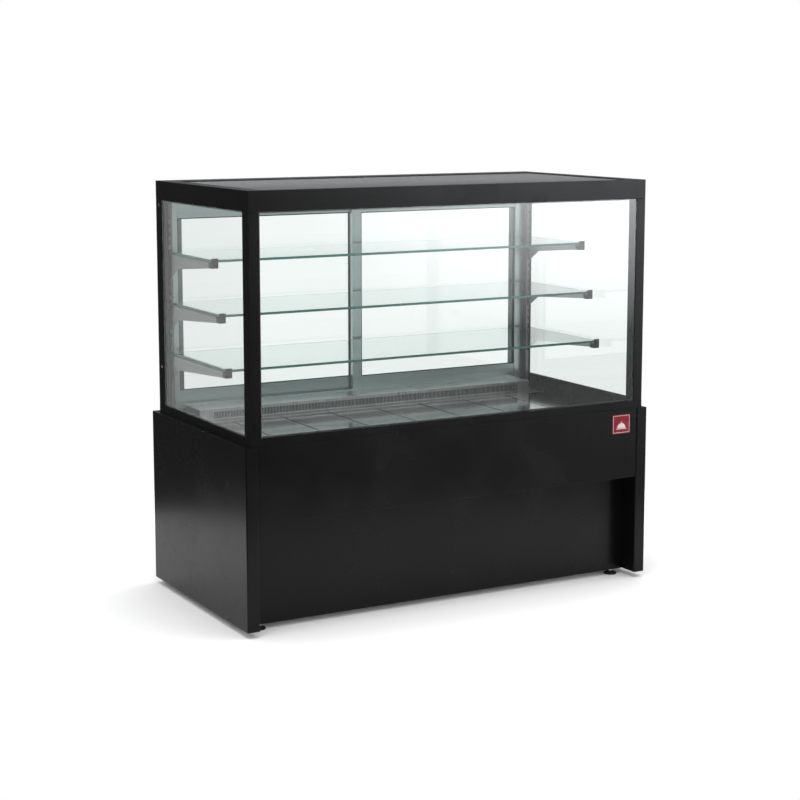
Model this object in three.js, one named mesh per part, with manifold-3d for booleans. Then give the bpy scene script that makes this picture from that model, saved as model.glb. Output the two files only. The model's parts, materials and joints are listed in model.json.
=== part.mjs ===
// Free-standing hot food display case: a black sheet-metal base, a glazed upper case with
// three glass shelves, two sliding rear doors and a heated well under lift-out deck plates.
// Millimetres, +Z up. Origin: centre of the footprint at floor level. The customer side faces -Y.

import * as THREE from "three";
import { mergeVertices } from "three/addons/utils/BufferGeometryUtils.js";
import Module from "manifold-3d";

const wasm = await Module();
wasm.setup();

// ---------- driving dimensions ----------

const overallWidth = 1500;
const overallDepth = 760;

const gap = 0.3; // between pieces that touch
const runClearance = 1.5; // round pieces that slide or turn
const sheet = 2; // folded sheet metal
const thinSheet = 1.5; // stainless inner parts

// base
const footHeight = 20;
const baseTop = 595; // top of the end panels
const endPanelThickness = 42;
const endPanelEdgeRadius = 4;
const rebateDepth = 18; // below the deck, for the pieces let into the end panels
const rebateClearance = 0.5;
const fasciaSetback = 2;
const fasciaHeight = 238;
const kickSetback = 75;
const kickDrop = 2; // kick panel below the base tray
const kickLap = 8; // kick panel's top above the fascia's lower edge
const kickFlange = 22;
const rearPanelSetback = 20;
const servicePanelLift = 4; // above the kick panel's lower edge
const controlPanelHeight = 175;
const controlPanelFlange = 14;
const trayFlange = 30;

// glazed case
const caseSideInset = 20;
const caseFrontInset = 5;
const caseRearInset = 19;
const postWidth = 35;
const postDepth = 46;
const sillRise = 26; // above the end panels
const sillWidth = 14; // side sills, and the rear posts that stand on them
const rearSillRise = 11;
const liningThickness = 2.5;
const liningDrop = 2; // below the deck
const topRailHeight = 63;
const topRailWall = 2.5;
const topRailVentRadius = 4;
const topBorderFront = 30;
const topBorderSide = 54;
const topBorderRear = 101;
const topGlassLap = 8;
const topGlassDrop = 1.7; // glass surface below the frame's top
const glassThickness = 6;
const glassEdgeInset = 2; // pane's outer face behind the post's outer face

// well and deck
const deckDrop = 25; // below the end panels' top
const deckPlateCount = 8;
const deckPlateGap = 2;
const deckFlange = 12;
const panDepth = 128;
const panRim = 22; // inward flange round the well's top
const panFrontClearance = 1;
const panRearLap = 11; // pan under the rear sill
const beamDepth = 18;
const beamHeight = 28;

// rear air grille
const ledgeRise = 21; // above the end panels
const grilleEndInset = 67.5; // from the well's side wall to the grille's end
const grilleSkirt = 14; // grille face below the deck
const grilleSlotPitch = 14;
const grilleSlotWidth = 7;
const grilleSlotRise = 14; // slots' lower end above the deck
const grilleSlotMargin = 7; // above the slots
const grilleEndBlank = 46;

// fans
const fanSize = 92;
const fanBoreWall = 3;
const fanTipClearance = 2;
const fanDepth = 25;
const fanHubRadius = 15;
const fanMotorHeight = 5;
const fanAxialClearance = 1;
const fanBlades = 7;
const fanBladePitch = 38; // degrees
const fanBladeRoot = 2; // blade sunk into the hub
const fanBladeThickness = 1.6;
const fanChordRatio = 1.2; // blade's chord to the wheel's height
const fanArmHalf = 2;
const fanArmHeight = 3;
const fanSpacing = 700;
const fanPlateDrop = 40; // below the deck
const ductMargin = 23; // duct deeper than the fan

// heater
const heaterTubeRadius = 4.2;
const heaterPasses = 4;
const heaterRise = 56.3; // above the pan's floor
const heaterEndInset = 92;
const heaterPitch = 120;

// hooks and the slots that they sit in
const bracketSheet = 2;
const hookReach = 9;
const hookHeight = 9;
const hookSideClearance = 1;
const hookEndClearance = 3;
const hookDrop = 5; // how far a bracket lifts before its hooks clear the slots
const slotPitch = 28;
const firstSlotRise = 142; // above the deck

// slotted uprights
const uprightWidth = 20;
const uprightDepth = 57;
const uprightRearInset = 8;
const uprightHeadroom = 7;
const slotEndMargin = 28;

// shelves, top one first
const shelfNames = ["top", "middle", "bottom"];
const shelfReaches = [350, 402, 446]; // bracket length from the upright
const shelfSteps = 6; // slots from one shelf to the next
const bottomShelfSlot = 2; // slot that the bottom shelf's upper hook sits in
const shelfSeatRise = 25; // shelf's underside above that slot's lower end
const shelfThickness = 8;
const shelfSideClearance = 2.7;
const shelfRearClearance = 2;
const shelfHeadroom = 170; // from the top shelf to the top rails
const bracketFlange = 20;
const bracketTipDepth = 17;
const bracketKneeDepth = 44;
const bracketKneeLength = 64;
const bracketToe = 3; // below the lower hook's slot
const bracketLip = 3;
const bracketLipHeight = 12;
const hookSlots = [0, 2]; // hooks' slots, counted down from the shelf's

// sliding doors
const doorThickness = 16;
const doorStile = 35;
const doorBottomRail = 50;
const doorTopRail = 52;
const doorPull = 20;
const doorPullThickness = 4;
const doorGlass = 5;
const doorSideClearance = 0.5;
const doorFootRise = 6; // above the rear sill
const doorHeadDrop = 11; // below the top rails
const laneClearance = 2.75;
const trackLip = 14;
const topTrackLip = 28;
const trackSheet = 1.5;
const trackEdge = 2; // from the track to the edges of the rear sill

// controls, on the rear control panel, placed from the right end panel
const controlDrop = 90; // below the end panels' top
const switchSize = [18, 26];
const switchInsets = [278, 228];
const switchTilt = 8;
const switchPivotInset = 6;
const switchStand = 3; // rocker's rim proud of the panel
const switchSkirt = 2;
const switchDish = 1.5;
const switchTail = 5; // behind the pivot
const knobRadius = 19;
const knobDepth = 15;
const knobInset = 148;
const spindleRadius = 3;
const displaySize = [72, 30];
const displayStand = 3.5;
const displayInset = 378;

// feet, gland, badge, lamp, louvres
const footPadRadius = 22;
const footPadHeight = 11;
const footNeckRadius = 9;
const footStemRadius = 5;
const footStemRise = 26; // above the base tray
const footInsetX = 78;
const footInsetY = 90;
const glandRadius = 11;
const glandBore = 5.5;
const glandInset = 108; // from the left end panel
const glandRise = 70; // above the base tray
const badgeSize = [73, 65];
const badgeInset = [27.5, 17]; // from the fascia's right end and top
const badgeThickness = 1.4;
const lampEndInset = 76;
const lampSize = [22, 16];
const lampDrop = 12; // below the top glass
const louvreCount = 9;
const louvreSize = [180, 6];
const louvrePitch = 18;
const louvreDrop = 210; // lowest louvre below the control panel
const louvreSpacing = 420;

// ---------- derived planes ----------

const halfWidth = overallWidth / 2;
const frontFace = -overallDepth / 2;
const rearFace = overallDepth / 2;
const endPanelInner = halfWidth - endPanelThickness;
const innerHalf = endPanelInner - gap; // pieces between the end panels
const caseHalf = halfWidth - caseSideInset;
const caseFront = frontFace + caseFrontInset;
const caseRear = rearFace - caseRearInset;
const wellHalf = caseHalf - sillWidth; // inner faces of the well's black lining
const wellFront = caseFront + sillWidth;
const fasciaFace = frontFace + fasciaSetback;
const kickFace = frontFace + kickSetback;
const rearPanelFace = rearFace - rearPanelSetback;

const fasciaBottom = baseTop - fasciaHeight;
const kickBottom = footHeight - kickDrop;
const controlPanelBottom = baseTop - controlPanelHeight;
const controlHeight = baseTop - controlDrop;
const sillTop = baseTop + sillRise;
const rearSillTop = baseTop + rearSillRise;
const deckTop = baseTop - deckDrop;
const ledgeTop = baseTop + ledgeRise;
const panTop = deckTop - deckFlange - gap;
const panBottom = panTop - panDepth;

const slotWidth = bracketSheet + 2 * hookSideClearance;
const slotDepth = hookReach + hookEndClearance;
const slotHeight = hookHeight + hookDrop;
const firstSlot = deckTop + firstSlotRise;
const shelfSlots = shelfNames.map((_, shelf) => bottomShelfSlot
  + (shelfNames.length - 1 - shelf) * shelfSteps);
const shelfBottoms = shelfSlots.map((slot) => firstSlot + slot * slotPitch + shelfSeatRise);
const topRailBottom = shelfBottoms[0] + shelfThickness + shelfHeadroom;
const overallHeight = topRailBottom + topRailHeight;

const trackGroove = doorThickness + laneClearance;
const trackWidth = 2 * trackGroove + 3 * trackSheet;
const rearBarDepth = trackWidth + 2 * trackEdge; // rear sill, and the rear posts on it
const rearBarFront = caseRear - rearBarDepth;
const trackFront = rearBarFront + trackEdge;
const ductDepth = fanSize + ductMargin;
const grilleFront = rearBarFront - ductDepth;
const grilleHalf = wellHalf - grilleEndInset;
const deckRear = grilleFront - runClearance;
const panFront = wellFront + panFrontClearance;
const panRear = rearBarFront + panRearLap;
const uprightOuter = caseHalf - sillWidth - gap;
const uprightInner = uprightOuter - uprightWidth;
const uprightCentre = uprightOuter - uprightWidth / 2;
const uprightRear = caseRear - uprightRearInset;
const uprightFront = uprightRear - uprightDepth;
const doorHalf = uprightInner - doorSideClearance;

// ---------- materials ----------

function paint(color, roughness, metalness, opacity = 1) {
  const transparent = opacity < 1;
  return new THREE.MeshStandardMaterial({ color, roughness, metalness, opacity, transparent });
}

const blackPaint = paint(0x1b1b1d, 0.42, 0.1);
const blackPlastic = paint(0x151515, 0.55, 0);
const polishedSteel = paint(0xb9bdbd, 0.12, 1);
const satinSteel = paint(0x9a9e9f, 0.35, 1);
const doorAluminium = paint(0x8f9a9b, 0.38, 0.9);
const clearGlass = paint(0xdcefeb, 0.03, 0, 0.25);
const shelfGlass = paint(0x9fd0c4, 0.03, 0, 0.3);
const galvanised = paint(0x9b9c98, 0.5, 0.9);
const heaterSteel = paint(0x5a524c, 0.45, 0.9);
const badgeRed = paint(0x8c1a20, 0.3, 0.2);
const displayBlack = paint(0x0c0e12, 0.1, 0);
const lampWhite = paint(0xf2f1ea, 0.4, 0);

// ---------- geometry helpers ----------

function block(x0, x1, y0, y1, z0, z1) {
  const geometry = new THREE.BoxGeometry(x1 - x0, y1 - y0, z1 - z0);
  return geometry.translate((x0 + x1) / 2, (y0 + y1) / 2, (z0 + z1) / 2);
}

// A block on the left (side -1) or right (side 1), its x given outwards from the middle.
function sideBlock(side, inner, outer, y0, y1, z0, z1) {
  const x0 = side > 0 ? inner : -outer;
  const x1 = side > 0 ? outer : -inner;
  return block(x0, x1, y0, y1, z0, z1);
}

function outline(points) {
  return new THREE.Shape(points.map(([u, v]) => new THREE.Vector2(u, v)));
}

// A rod along y, also used to cut round holes.
function rodY(x, z, radius, y0, y1) {
  return new THREE.CylinderGeometry(radius, radius, y1 - y0, 20).translate(x, (y0 + y1) / 2, z);
}

function extrude(shape, depth, curveSegments = 6) {
  return new THREE.ExtrudeGeometry(shape, { depth, bevelEnabled: false, curveSegments });
}

// Outline in (y, z), swept along x.
function sweepX(shape, x0, x1) {
  const turn = new THREE.Matrix4().makeBasis(
    new THREE.Vector3(0, 1, 0), new THREE.Vector3(0, 0, 1), new THREE.Vector3(1, 0, 0));
  return extrude(shape, x1 - x0).applyMatrix4(turn).translate(x0, 0, 0);
}

// Outline in (x, z), swept along y.
function sweepY(shape, y0, y1) {
  const turn = new THREE.Matrix4().makeBasis(
    new THREE.Vector3(1, 0, 0), new THREE.Vector3(0, 0, 1), new THREE.Vector3(0, -1, 0));
  return extrude(shape, y1 - y0).applyMatrix4(turn).translate(0, y1, 0);
}

// Outline in (x, y), swept along z.
function sweepZ(shape, z0, z1, segments) {
  return extrude(shape, z1 - z0, segments).translate(0, 0, z0);
}

function sideSweep(side, shape, inner, outer) {
  return side > 0 ? sweepX(shape, inner, outer) : sweepX(shape, -outer, -inner);
}

function toSolid(geometry) {
  const bare = geometry.clone();
  bare.deleteAttribute("normal");
  bare.deleteAttribute("uv");
  const welded = mergeVertices(bare, 1e-4);
  const vertProperties = new Float32Array(welded.attributes.position.array);
  const triVerts = new Uint32Array(welded.index.array);
  return new wasm.Manifold(new wasm.Mesh({ numProp: 3, vertProperties, triVerts }));
}

function toGeometry(solid) {
  const mesh = solid.getMesh();
  const geometry = new THREE.BufferGeometry();
  geometry.setAttribute("position", new THREE.BufferAttribute(mesh.vertProperties, 3));
  geometry.setIndex(new THREE.BufferAttribute(mesh.triVerts, 1));
  geometry.computeVertexNormals();
  return geometry;
}

function join(...geometries) {
  return toGeometry(geometries.map(toSolid).reduce((whole, next) => whole.add(next)));
}

function cut(geometry, ...tools) {
  return toGeometry(tools.map(toSolid).reduce((whole, tool) => whole.subtract(tool), toSolid(geometry)));
}

// Solid of revolution about z, from [radius, z] points that start and end on the axis.
function turned(points, segments = 24) {
  const profile = points.map(([radius, z]) => new THREE.Vector2(radius, z));
  return new THREE.LatheGeometry(profile, segments).rotateX(Math.PI / 2);
}

const group = new THREE.Group();

function add(name, geometry, material, place) {
  const mesh = new THREE.Mesh(geometry, material);
  mesh.name = name;
  if (place) mesh.position.set(...place);
  group.add(mesh);
  return mesh;
}

function sideName(side) {
  return side < 0 ? "left" : "right";
}

// ---------- base ----------

function roundedPlan(x0, x1, y0, y1, radius) {
  const shape = new THREE.Shape();
  shape.moveTo(x0 + radius, y0);
  shape.lineTo(x1 - radius, y0);
  shape.absarc(x1 - radius, y0 + radius, radius, -Math.PI / 2, 0, false);
  shape.lineTo(x1, y1 - radius);
  shape.absarc(x1 - radius, y1 - radius, radius, 0, Math.PI / 2, false);
  shape.lineTo(x0 + radius, y1);
  shape.absarc(x0 + radius, y1 - radius, radius, Math.PI / 2, Math.PI, false);
  shape.lineTo(x0, y0 + radius);
  shape.absarc(x0 + radius, y0 + radius, radius, Math.PI, 1.5 * Math.PI, false);
  return shape;
}

// Folded box, open underneath, with a rebate along the top of its inner side for the well's lining.
function addEndPanel(side) {
  const outer = side * halfWidth;
  const inner = side * endPanelInner;
  const plan = roundedPlan(Math.min(inner, outer), Math.max(inner, outer), frontFace, rearFace,
    endPanelEdgeRadius);
  const rebateOuter = wellHalf + liningThickness + rebateClearance;
  const rebateFloor = deckTop - rebateDepth;
  const rebate = sideBlock(side, endPanelInner - 1, rebateOuter, caseFront, caseRear + gap,
    rebateFloor, baseTop + 1);
  const y0 = frontFace + sheet;
  const y1 = rearFace - sheet;
  const lowerHollow = sideBlock(side, endPanelInner + sheet, halfWidth - sheet, y0, y1,
    footHeight - 1, rebateFloor - sheet);
  const upperHollow = sideBlock(side, rebateOuter + sheet, halfWidth - sheet, y0, y1,
    footHeight, baseTop - sheet);
  add(`end_panel_${sideName(side)}`,
    cut(sweepZ(plan, footHeight, baseTop, 3), rebate, lowerHollow, upperHollow), blackPaint);
}

// Folded channel: a skin at face, with flanges running back from its top and bottom edges.
function channelOutline(face, z0, z1, topFlange, bottomFlange) {
  return outline([
    [face, z0], [face + bottomFlange, z0], [face + bottomFlange, z0 + sheet],
    [face + sheet, z0 + sheet], [face + sheet, z1 - sheet],
    [face + topFlange, z1 - sheet], [face + topFlange, z1], [face, z1],
  ]);
}

function addFascia() {
  const topFlange = wellFront - fasciaFace - liningThickness - 2 * gap;
  const bottomFlange = kickFace - fasciaFace - gap;
  const section = channelOutline(fasciaFace, fasciaBottom, baseTop, topFlange, bottomFlange);
  add("front_fascia", sweepX(section, -innerHalf, innerHalf), blackPaint);
}

function addKickPanel() {
  const z1 = fasciaBottom + kickLap;
  const section = outline([
    [kickFace, kickBottom], [kickFace + sheet, kickBottom], [kickFace + sheet, z1 - sheet],
    [kickFace + kickFlange, z1 - sheet], [kickFace + kickFlange, z1], [kickFace, z1],
  ]);
  add("kick_panel", sweepX(section, -innerHalf, innerHalf), blackPaint);
}

function footPositions() {
  const x = halfWidth - footInsetX;
  const y = -frontFace - footInsetY;
  return [["front_left", -x, -y], ["front_right", x, -y], ["rear_left", -x, y], ["rear_right", x, y]];
}

function addBaseTray() {
  const front = kickFace + sheet + gap;
  const rear = rearPanelFace - sheet - gap;
  const floor = footHeight + sheet;
  const section = outline([
    [front, footHeight], [rear, footHeight], [rear, footHeight + trayFlange],
    [rear - sheet, footHeight + trayFlange], [rear - sheet, floor], [front + sheet, floor],
    [front + sheet, footHeight + trayFlange], [front, footHeight + trayFlange],
  ]);
  const holes = footPositions().map(([, x, y]) => {
    const radius = footStemRadius + gap;
    const depth = 3 * sheet;
    const hole = turned([[0, 0], [radius, 0], [radius, depth], [0, depth]], 16);
    return hole.translate(x, y, footHeight - sheet);
  });
  add("base_tray", cut(sweepX(section, -innerHalf, innerHalf), ...holes), galvanised);
}

function addFeet() {
  const chamfer = 2;
  const shoulder = 5;
  const stemTop = footHeight + footStemRise;
  const profile = [
    [0, 0], [footPadRadius - chamfer, 0], [footPadRadius, chamfer],
    [footPadRadius, footPadHeight - shoulder], [footPadRadius - shoulder, footPadHeight],
    [footNeckRadius, footPadHeight], [footNeckRadius, footHeight - gap],
    [footStemRadius, footHeight - gap], [footStemRadius, stemTop], [0, stemTop],
  ];
  for (const [place, x, y] of footPositions()) {
    add(`foot_${place}`, turned(profile), blackPlastic, [x, y, 0]);
  }
}

const glandPlace = [glandInset - endPanelInner, footHeight + glandRise];

function addServicePanel() {
  const back = rearPanelFace - sheet;
  const panel = block(-innerHalf, innerHalf, back, rearPanelFace, kickBottom + servicePanelLift,
    controlPanelBottom - gap);
  const louvreBottom = controlPanelBottom - louvreDrop;
  const holes = [rodY(...glandPlace, glandRadius + gap, back - 1, rearPanelFace + 1)];
  for (const centre of [-louvreSpacing / 2, louvreSpacing / 2]) {
    for (let row = 0; row < louvreCount; row += 1) {
      const z = louvreBottom + row * louvrePitch;
      const half = louvreSize[0] / 2;
      holes.push(block(centre - half, centre + half, back - 1, rearPanelFace + 1, z,
        z + louvreSize[1]));
    }
  }
  add("rear_service_panel", cut(panel, ...holes), blackPaint);
}

// Hollow threaded gland: thread through the panel, hexagon-sized flange and domed cap outside.
function addCableGland() {
  const inside = 12;
  const flange = glandRadius + 3;
  const flangeEnd = 8;
  const capStart = 9;
  const capEnd = 16;
  const capNose = glandRadius - 2;
  const ring = [
    [glandBore, -inside], [glandRadius, -inside], [glandRadius, gap], [flange, gap],
    [flange, flangeEnd], [glandRadius, capStart], [capNose, capEnd], [glandBore, capEnd],
    [glandBore, -inside],
  ].map(([radius, y]) => new THREE.Vector2(radius, y));
  add("cable_gland", new THREE.LatheGeometry(ring, 20), blackPlastic,
    [glandPlace[0], rearPanelFace, glandPlace[1]]);
}

// ---------- controls ----------

function insetFromRight(inset) {
  return endPanelInner - inset;
}

function addControlPanel() {
  const inside = rearPanelFace - sheet;
  const face = block(-innerHalf, innerHalf, inside, rearPanelFace, controlPanelBottom, baseTop);
  const [w, h] = switchSize.map((size) => size / 2 + runClearance);
  const holes = switchInsets.map(insetFromRight).map((x) => block(x - w, x + w, inside - 1,
    rearPanelFace + 1, controlHeight - h, controlHeight + h));
  holes.push(rodY(insetFromRight(knobInset), controlHeight, spindleRadius + 1, inside - 1,
    rearPanelFace + 1));
  const back = rearPanelFace - controlPanelFlange;
  const front = rearPanelFace - sheet / 2;
  const flanges = [controlPanelBottom, baseTop - sheet].map((z) => block(-innerHalf, innerHalf,
    back, front, z, z + sheet));
  add("control_panel", join(cut(face, ...holes), ...flanges), blackPaint);
}

function addSwitches() {
  const [w, h] = switchSize;
  const front = switchPivotInset + switchStand;
  const skirt = front - switchSkirt;
  const section = outline([
    [-switchTail, -h / 3], [-switchTail, h / 3], [skirt, h / 2], [front, h / 2],
    [front - switchDish, 0], [front, -h / 2], [skirt, -h / 2],
  ].reverse());
  const names = ["main_switch", "lamp_switch"];
  switchInsets.forEach((inset, index) => {
    const rocker = add(names[index], sweepX(section, -w / 2, w / 2), blackPlastic,
      [insetFromRight(inset), rearPanelFace - switchPivotInset, controlHeight]);
    rocker.rotation.x = THREE.MathUtils.degToRad(switchTilt);
  });
}

function addKnob() {
  const inside = 12;
  const stand = 0.6;
  const skirtTop = 5;
  const gripStart = 7;
  const gripFoot = knobRadius - 4;
  const gripTop = knobRadius - 5;
  const pointerHalf = 1.5;
  const pointerRise = 1;
  const pointerInner = 2;
  const profile = [
    [0, -inside], [spindleRadius, -inside], [spindleRadius, stand], [knobRadius, stand],
    [knobRadius, skirtTop], [gripFoot, gripStart], [gripTop, knobDepth], [0, knobDepth],
  ];
  const body = turned(profile).rotateX(-Math.PI / 2);
  const pointer = block(-pointerHalf, pointerHalf, knobDepth - pointerRise, knobDepth + pointerRise,
    pointerInner, gripTop - pointerRise);
  add("thermostat_knob", join(body, pointer), blackPlastic,
    [insetFromRight(knobInset), rearPanelFace, controlHeight]);
}

function addDisplay() {
  const [w, h] = displaySize.map((size) => size / 2);
  add("display_window", block(-w, w, gap, displayStand, -h, h), displayBlack,
    [insetFromRight(displayInset), rearPanelFace, controlHeight]);
}

function addBadge() {
  const right = innerHalf - badgeInset[0];
  const top = baseTop - badgeInset[1];
  add("badge_plate", block(right - badgeSize[0], right, fasciaFace - gap - badgeThickness,
    fasciaFace - gap, top - badgeSize[1], top), badgeRed);
}

// ---------- well, heater, fans, deck ----------

const panInnerHalf = innerHalf - sheet;
const panInnerRear = panRear - sheet;

// Tray with a rim turned in round its top, and the beam that carries the deck plates' rear ends.
function addWellPan() {
  const floor = panBottom + sheet;
  const shell = block(-innerHalf, innerHalf, panFront, panRear, panBottom, panTop);
  const hollow = block(-panInnerHalf, panInnerHalf, panFront + sheet, panInnerRear, floor,
    panTop - sheet);
  const mouth = block(panRim - innerHalf, innerHalf - panRim, panFront + panRim, panRear - panRim,
    floor, panTop + 1);
  const beam = block(-panInnerHalf - 1, panInnerHalf + 1, deckRear - beamDepth, deckRear,
    panTop - beamHeight, panTop);
  add("well_pan", join(cut(shell, hollow, mouth), beam), satinSteel);
}

function tube(curve, steps) {
  const section = new THREE.Shape().absarc(0, 0, heaterTubeRadius, 0, 2 * Math.PI, false);
  return new THREE.ExtrudeGeometry(section, { steps, extrudePath: curve, curveSegments: 5,
    bevelEnabled: false });
}

class ReturnBend extends THREE.Curve {
  constructor(centre, radius, direction) {
    super();
    Object.assign(this, { centre, radius, direction });
  }

  getPoint(t, target = new THREE.Vector3()) {
    const angle = -Math.PI / 2 + Math.PI * t;
    const x = this.centre.x + this.direction * this.radius * Math.cos(angle);
    return target.set(x, this.centre.y + this.radius * Math.sin(angle), this.centre.z);
  }
}

function addHeater() {
  const end = panInnerHalf - heaterEndInset;
  const lap = 0.5;
  const height = panBottom + sheet + heaterRise;
  const span = (heaterPasses - 1) * heaterPitch;
  const first = (panFront + panRim + deckRear - beamDepth - span) / 2;
  const pieces = [];
  for (let pass = 0; pass < heaterPasses; pass += 1) {
    const y = first + pass * heaterPitch;
    const from = new THREE.Vector3(-end - lap, y, height);
    const to = new THREE.Vector3(end + lap, y, height);
    pieces.push(tube(new THREE.LineCurve3(from, to), 1));
    if (pass + 1 < heaterPasses) {
      const side = pass % 2 === 0 ? 1 : -1;
      const centre = new THREE.Vector3(side * end, y + heaterPitch / 2, height);
      pieces.push(tube(new ReturnBend(centre, heaterPitch / 2, side), 10));
    }
  }
  const cap = 2 * heaterTubeRadius;
  for (const y of [first, first + span]) {
    pieces.push(sideBlock(-1, end - cap, end + cap / 2, y - cap, y + cap, height - cap, height + cap));
  }
  add("heater_element", join(...pieces), heaterSteel);
}

const fanCentreY = (deckRear + panRear - panRim) / 2;
const fanPlateTop = deckTop - fanPlateDrop + thinSheet;
const fanBoreRadius = fanSize / 2 - fanBoreWall;
const fanWheelRadius = fanBoreRadius - fanTipClearance;

function fanPositions() {
  return [-1, 1].map((side) => [side, (side * fanSpacing) / 2]);
}

function addFanPlate() {
  const top = fanPlateTop;
  const plate = block(-panInnerHalf + gap, panInnerHalf - gap, deckRear + gap, panInnerRear - gap,
    top - thinSheet, top);
  const half = fanSize / 2;
  const bottom = top - fanDepth;
  const solids = [plate];
  const bores = [];
  for (const [, x] of fanPositions()) {
    solids.push(block(x - half, x + half, fanCentreY - half, fanCentreY + half, bottom, top));
    bores.push(turned([[0, bottom - 1], [fanBoreRadius, bottom - 1], [fanBoreRadius, top + 1],
      [0, top + 1]], 28).translate(x, fanCentreY, 0));
  }
  const housing = cut(join(...solids), ...bores);
  const motors = fanPositions().map(([, x]) => {
    const boss = turned([[0, bottom], [fanHubRadius, bottom], [fanHubRadius, bottom + fanMotorHeight],
      [0, bottom + fanMotorHeight]]);
    const arms = [0, 1, 2].map((arm) => block(0, fanBoreRadius + 1, -fanArmHalf, fanArmHalf, bottom,
      bottom + fanArmHeight).rotateZ((arm * 2 * Math.PI) / 3));
    return join(boss, ...arms).translate(x, fanCentreY, 0);
  });
  add("fan_plate", join(housing, ...motors), galvanised);
}

function addFanWheels() {
  const height = fanDepth - fanMotorHeight - 3 * fanAxialClearance;
  const pitch = THREE.MathUtils.degToRad(fanBladePitch);
  const hub = turned([[0, 0], [fanHubRadius, 0], [fanHubRadius, height], [0, height]]);
  const blades = [];
  for (let blade = 0; blade < fanBlades; blade += 1) {
    const root = fanHubRadius - fanBladeRoot;
    const length = fanWheelRadius - root;
    const geometry = new THREE.BoxGeometry(length, fanBladeThickness, height * fanChordRatio);
    geometry.rotateX(pitch).translate(root + length / 2, 0, height / 2);
    blades.push(geometry.rotateZ((blade * 2 * Math.PI) / fanBlades));
  }
  const wheel = join(hub, ...blades);
  for (const [side, x] of fanPositions()) {
    add(`fan_wheel_${sideName(side)}`, wheel, blackPlastic,
      [x, fanCentreY, fanPlateTop - fanDepth + fanMotorHeight + fanAxialClearance]);
  }
}

function addDeckPlates() {
  const pitch = (2 * wellHalf - gap) / deckPlateCount;
  const width = pitch - deckPlateGap;
  const half = width / 2;
  const low = deckTop - deckFlange;
  const section = outline([
    [-half, low], [-half + thinSheet, low], [-half + thinSheet, deckTop - thinSheet],
    [half - thinSheet, deckTop - thinSheet], [half - thinSheet, low], [half, low],
    [half, deckTop], [-half, deckTop],
  ]);
  const plate = sweepY(section, panFront, deckRear);
  for (let index = 0; index < deckPlateCount; index += 1) {
    const x = (index - (deckPlateCount - 1) / 2) * pitch;
    add(`deck_plate_${index + 1}`, plate, polishedSteel, [x, 0, 0]);
  }
}

function addAirGrille() {
  const face = block(-grilleHalf, grilleHalf, grilleFront, grilleFront + thinSheet,
    deckTop - grilleSkirt, ledgeTop);
  const span = 2 * (grilleHalf - grilleEndBlank);
  const slotTotal = Math.floor(span / grilleSlotPitch);
  const half = grilleSlotWidth / 2;
  const slots = [];
  for (let slot = 0; slot < slotTotal; slot += 1) {
    const x = (slot - (slotTotal - 1) / 2) * grilleSlotPitch;
    slots.push(block(x - half, x + half, grilleFront - 1, grilleFront + thinSheet + 1,
      deckTop + grilleSlotRise, ledgeTop - grilleSlotMargin));
  }
  const rear = trackFront - gap;
  const pieces = [
    cut(face, ...slots),
    block(-grilleHalf, grilleHalf, grilleFront, rear, ledgeTop - thinSheet, ledgeTop),
  ];
  for (const side of [-1, 1]) {
    pieces.push(sideBlock(side, grilleHalf - thinSheet, grilleHalf, grilleFront, rearBarFront - gap,
      deckTop - thinSheet, ledgeTop));
    pieces.push(sideBlock(side, grilleHalf - thinSheet, wellHalf - gap, grilleFront,
      rearBarFront - gap, deckTop - thinSheet, deckTop));
  }
  add("rear_air_grille", join(...pieces), polishedSteel);
}

// ---------- glazed case ----------

function addSill() {
  const rails = cut(
    block(-caseHalf, caseHalf, caseFront, caseRear, baseTop + gap, sillTop),
    block(-wellHalf, wellHalf, wellFront, caseRear + 1, baseTop, sillTop + 1));
  const liningBottom = deckTop - liningDrop;
  const lining = cut(
    block(-wellHalf - liningThickness, wellHalf + liningThickness, wellFront - liningThickness,
      rearBarFront, liningBottom, baseTop + 1),
    block(-wellHalf, wellHalf, wellFront, rearBarFront + 1, liningBottom - 1, baseTop + 2));
  const rearBar = block(-wellHalf - 1, wellHalf + 1, rearBarFront, caseRear, baseTop + gap,
    rearSillTop);
  add("sill_frame", join(rails, lining, rearBar), blackPaint);
}

function addPosts() {
  const z0 = sillTop + gap;
  const z1 = topRailBottom - gap;
  for (const side of [-1, 1]) {
    add(`post_front_${sideName(side)}`, sideBlock(side, caseHalf - postWidth, caseHalf,
      caseFront, caseFront + postDepth, z0, z1), blackPaint);
    add(`post_rear_${sideName(side)}`, sideBlock(side, wellHalf, caseHalf, rearBarFront, caseRear,
      z0, z1), blackPaint);
  }
}

const topOpening = {
  x: caseHalf - topBorderSide,
  y0: caseFront + topBorderFront,
  y1: caseRear - topBorderRear,
};

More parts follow.
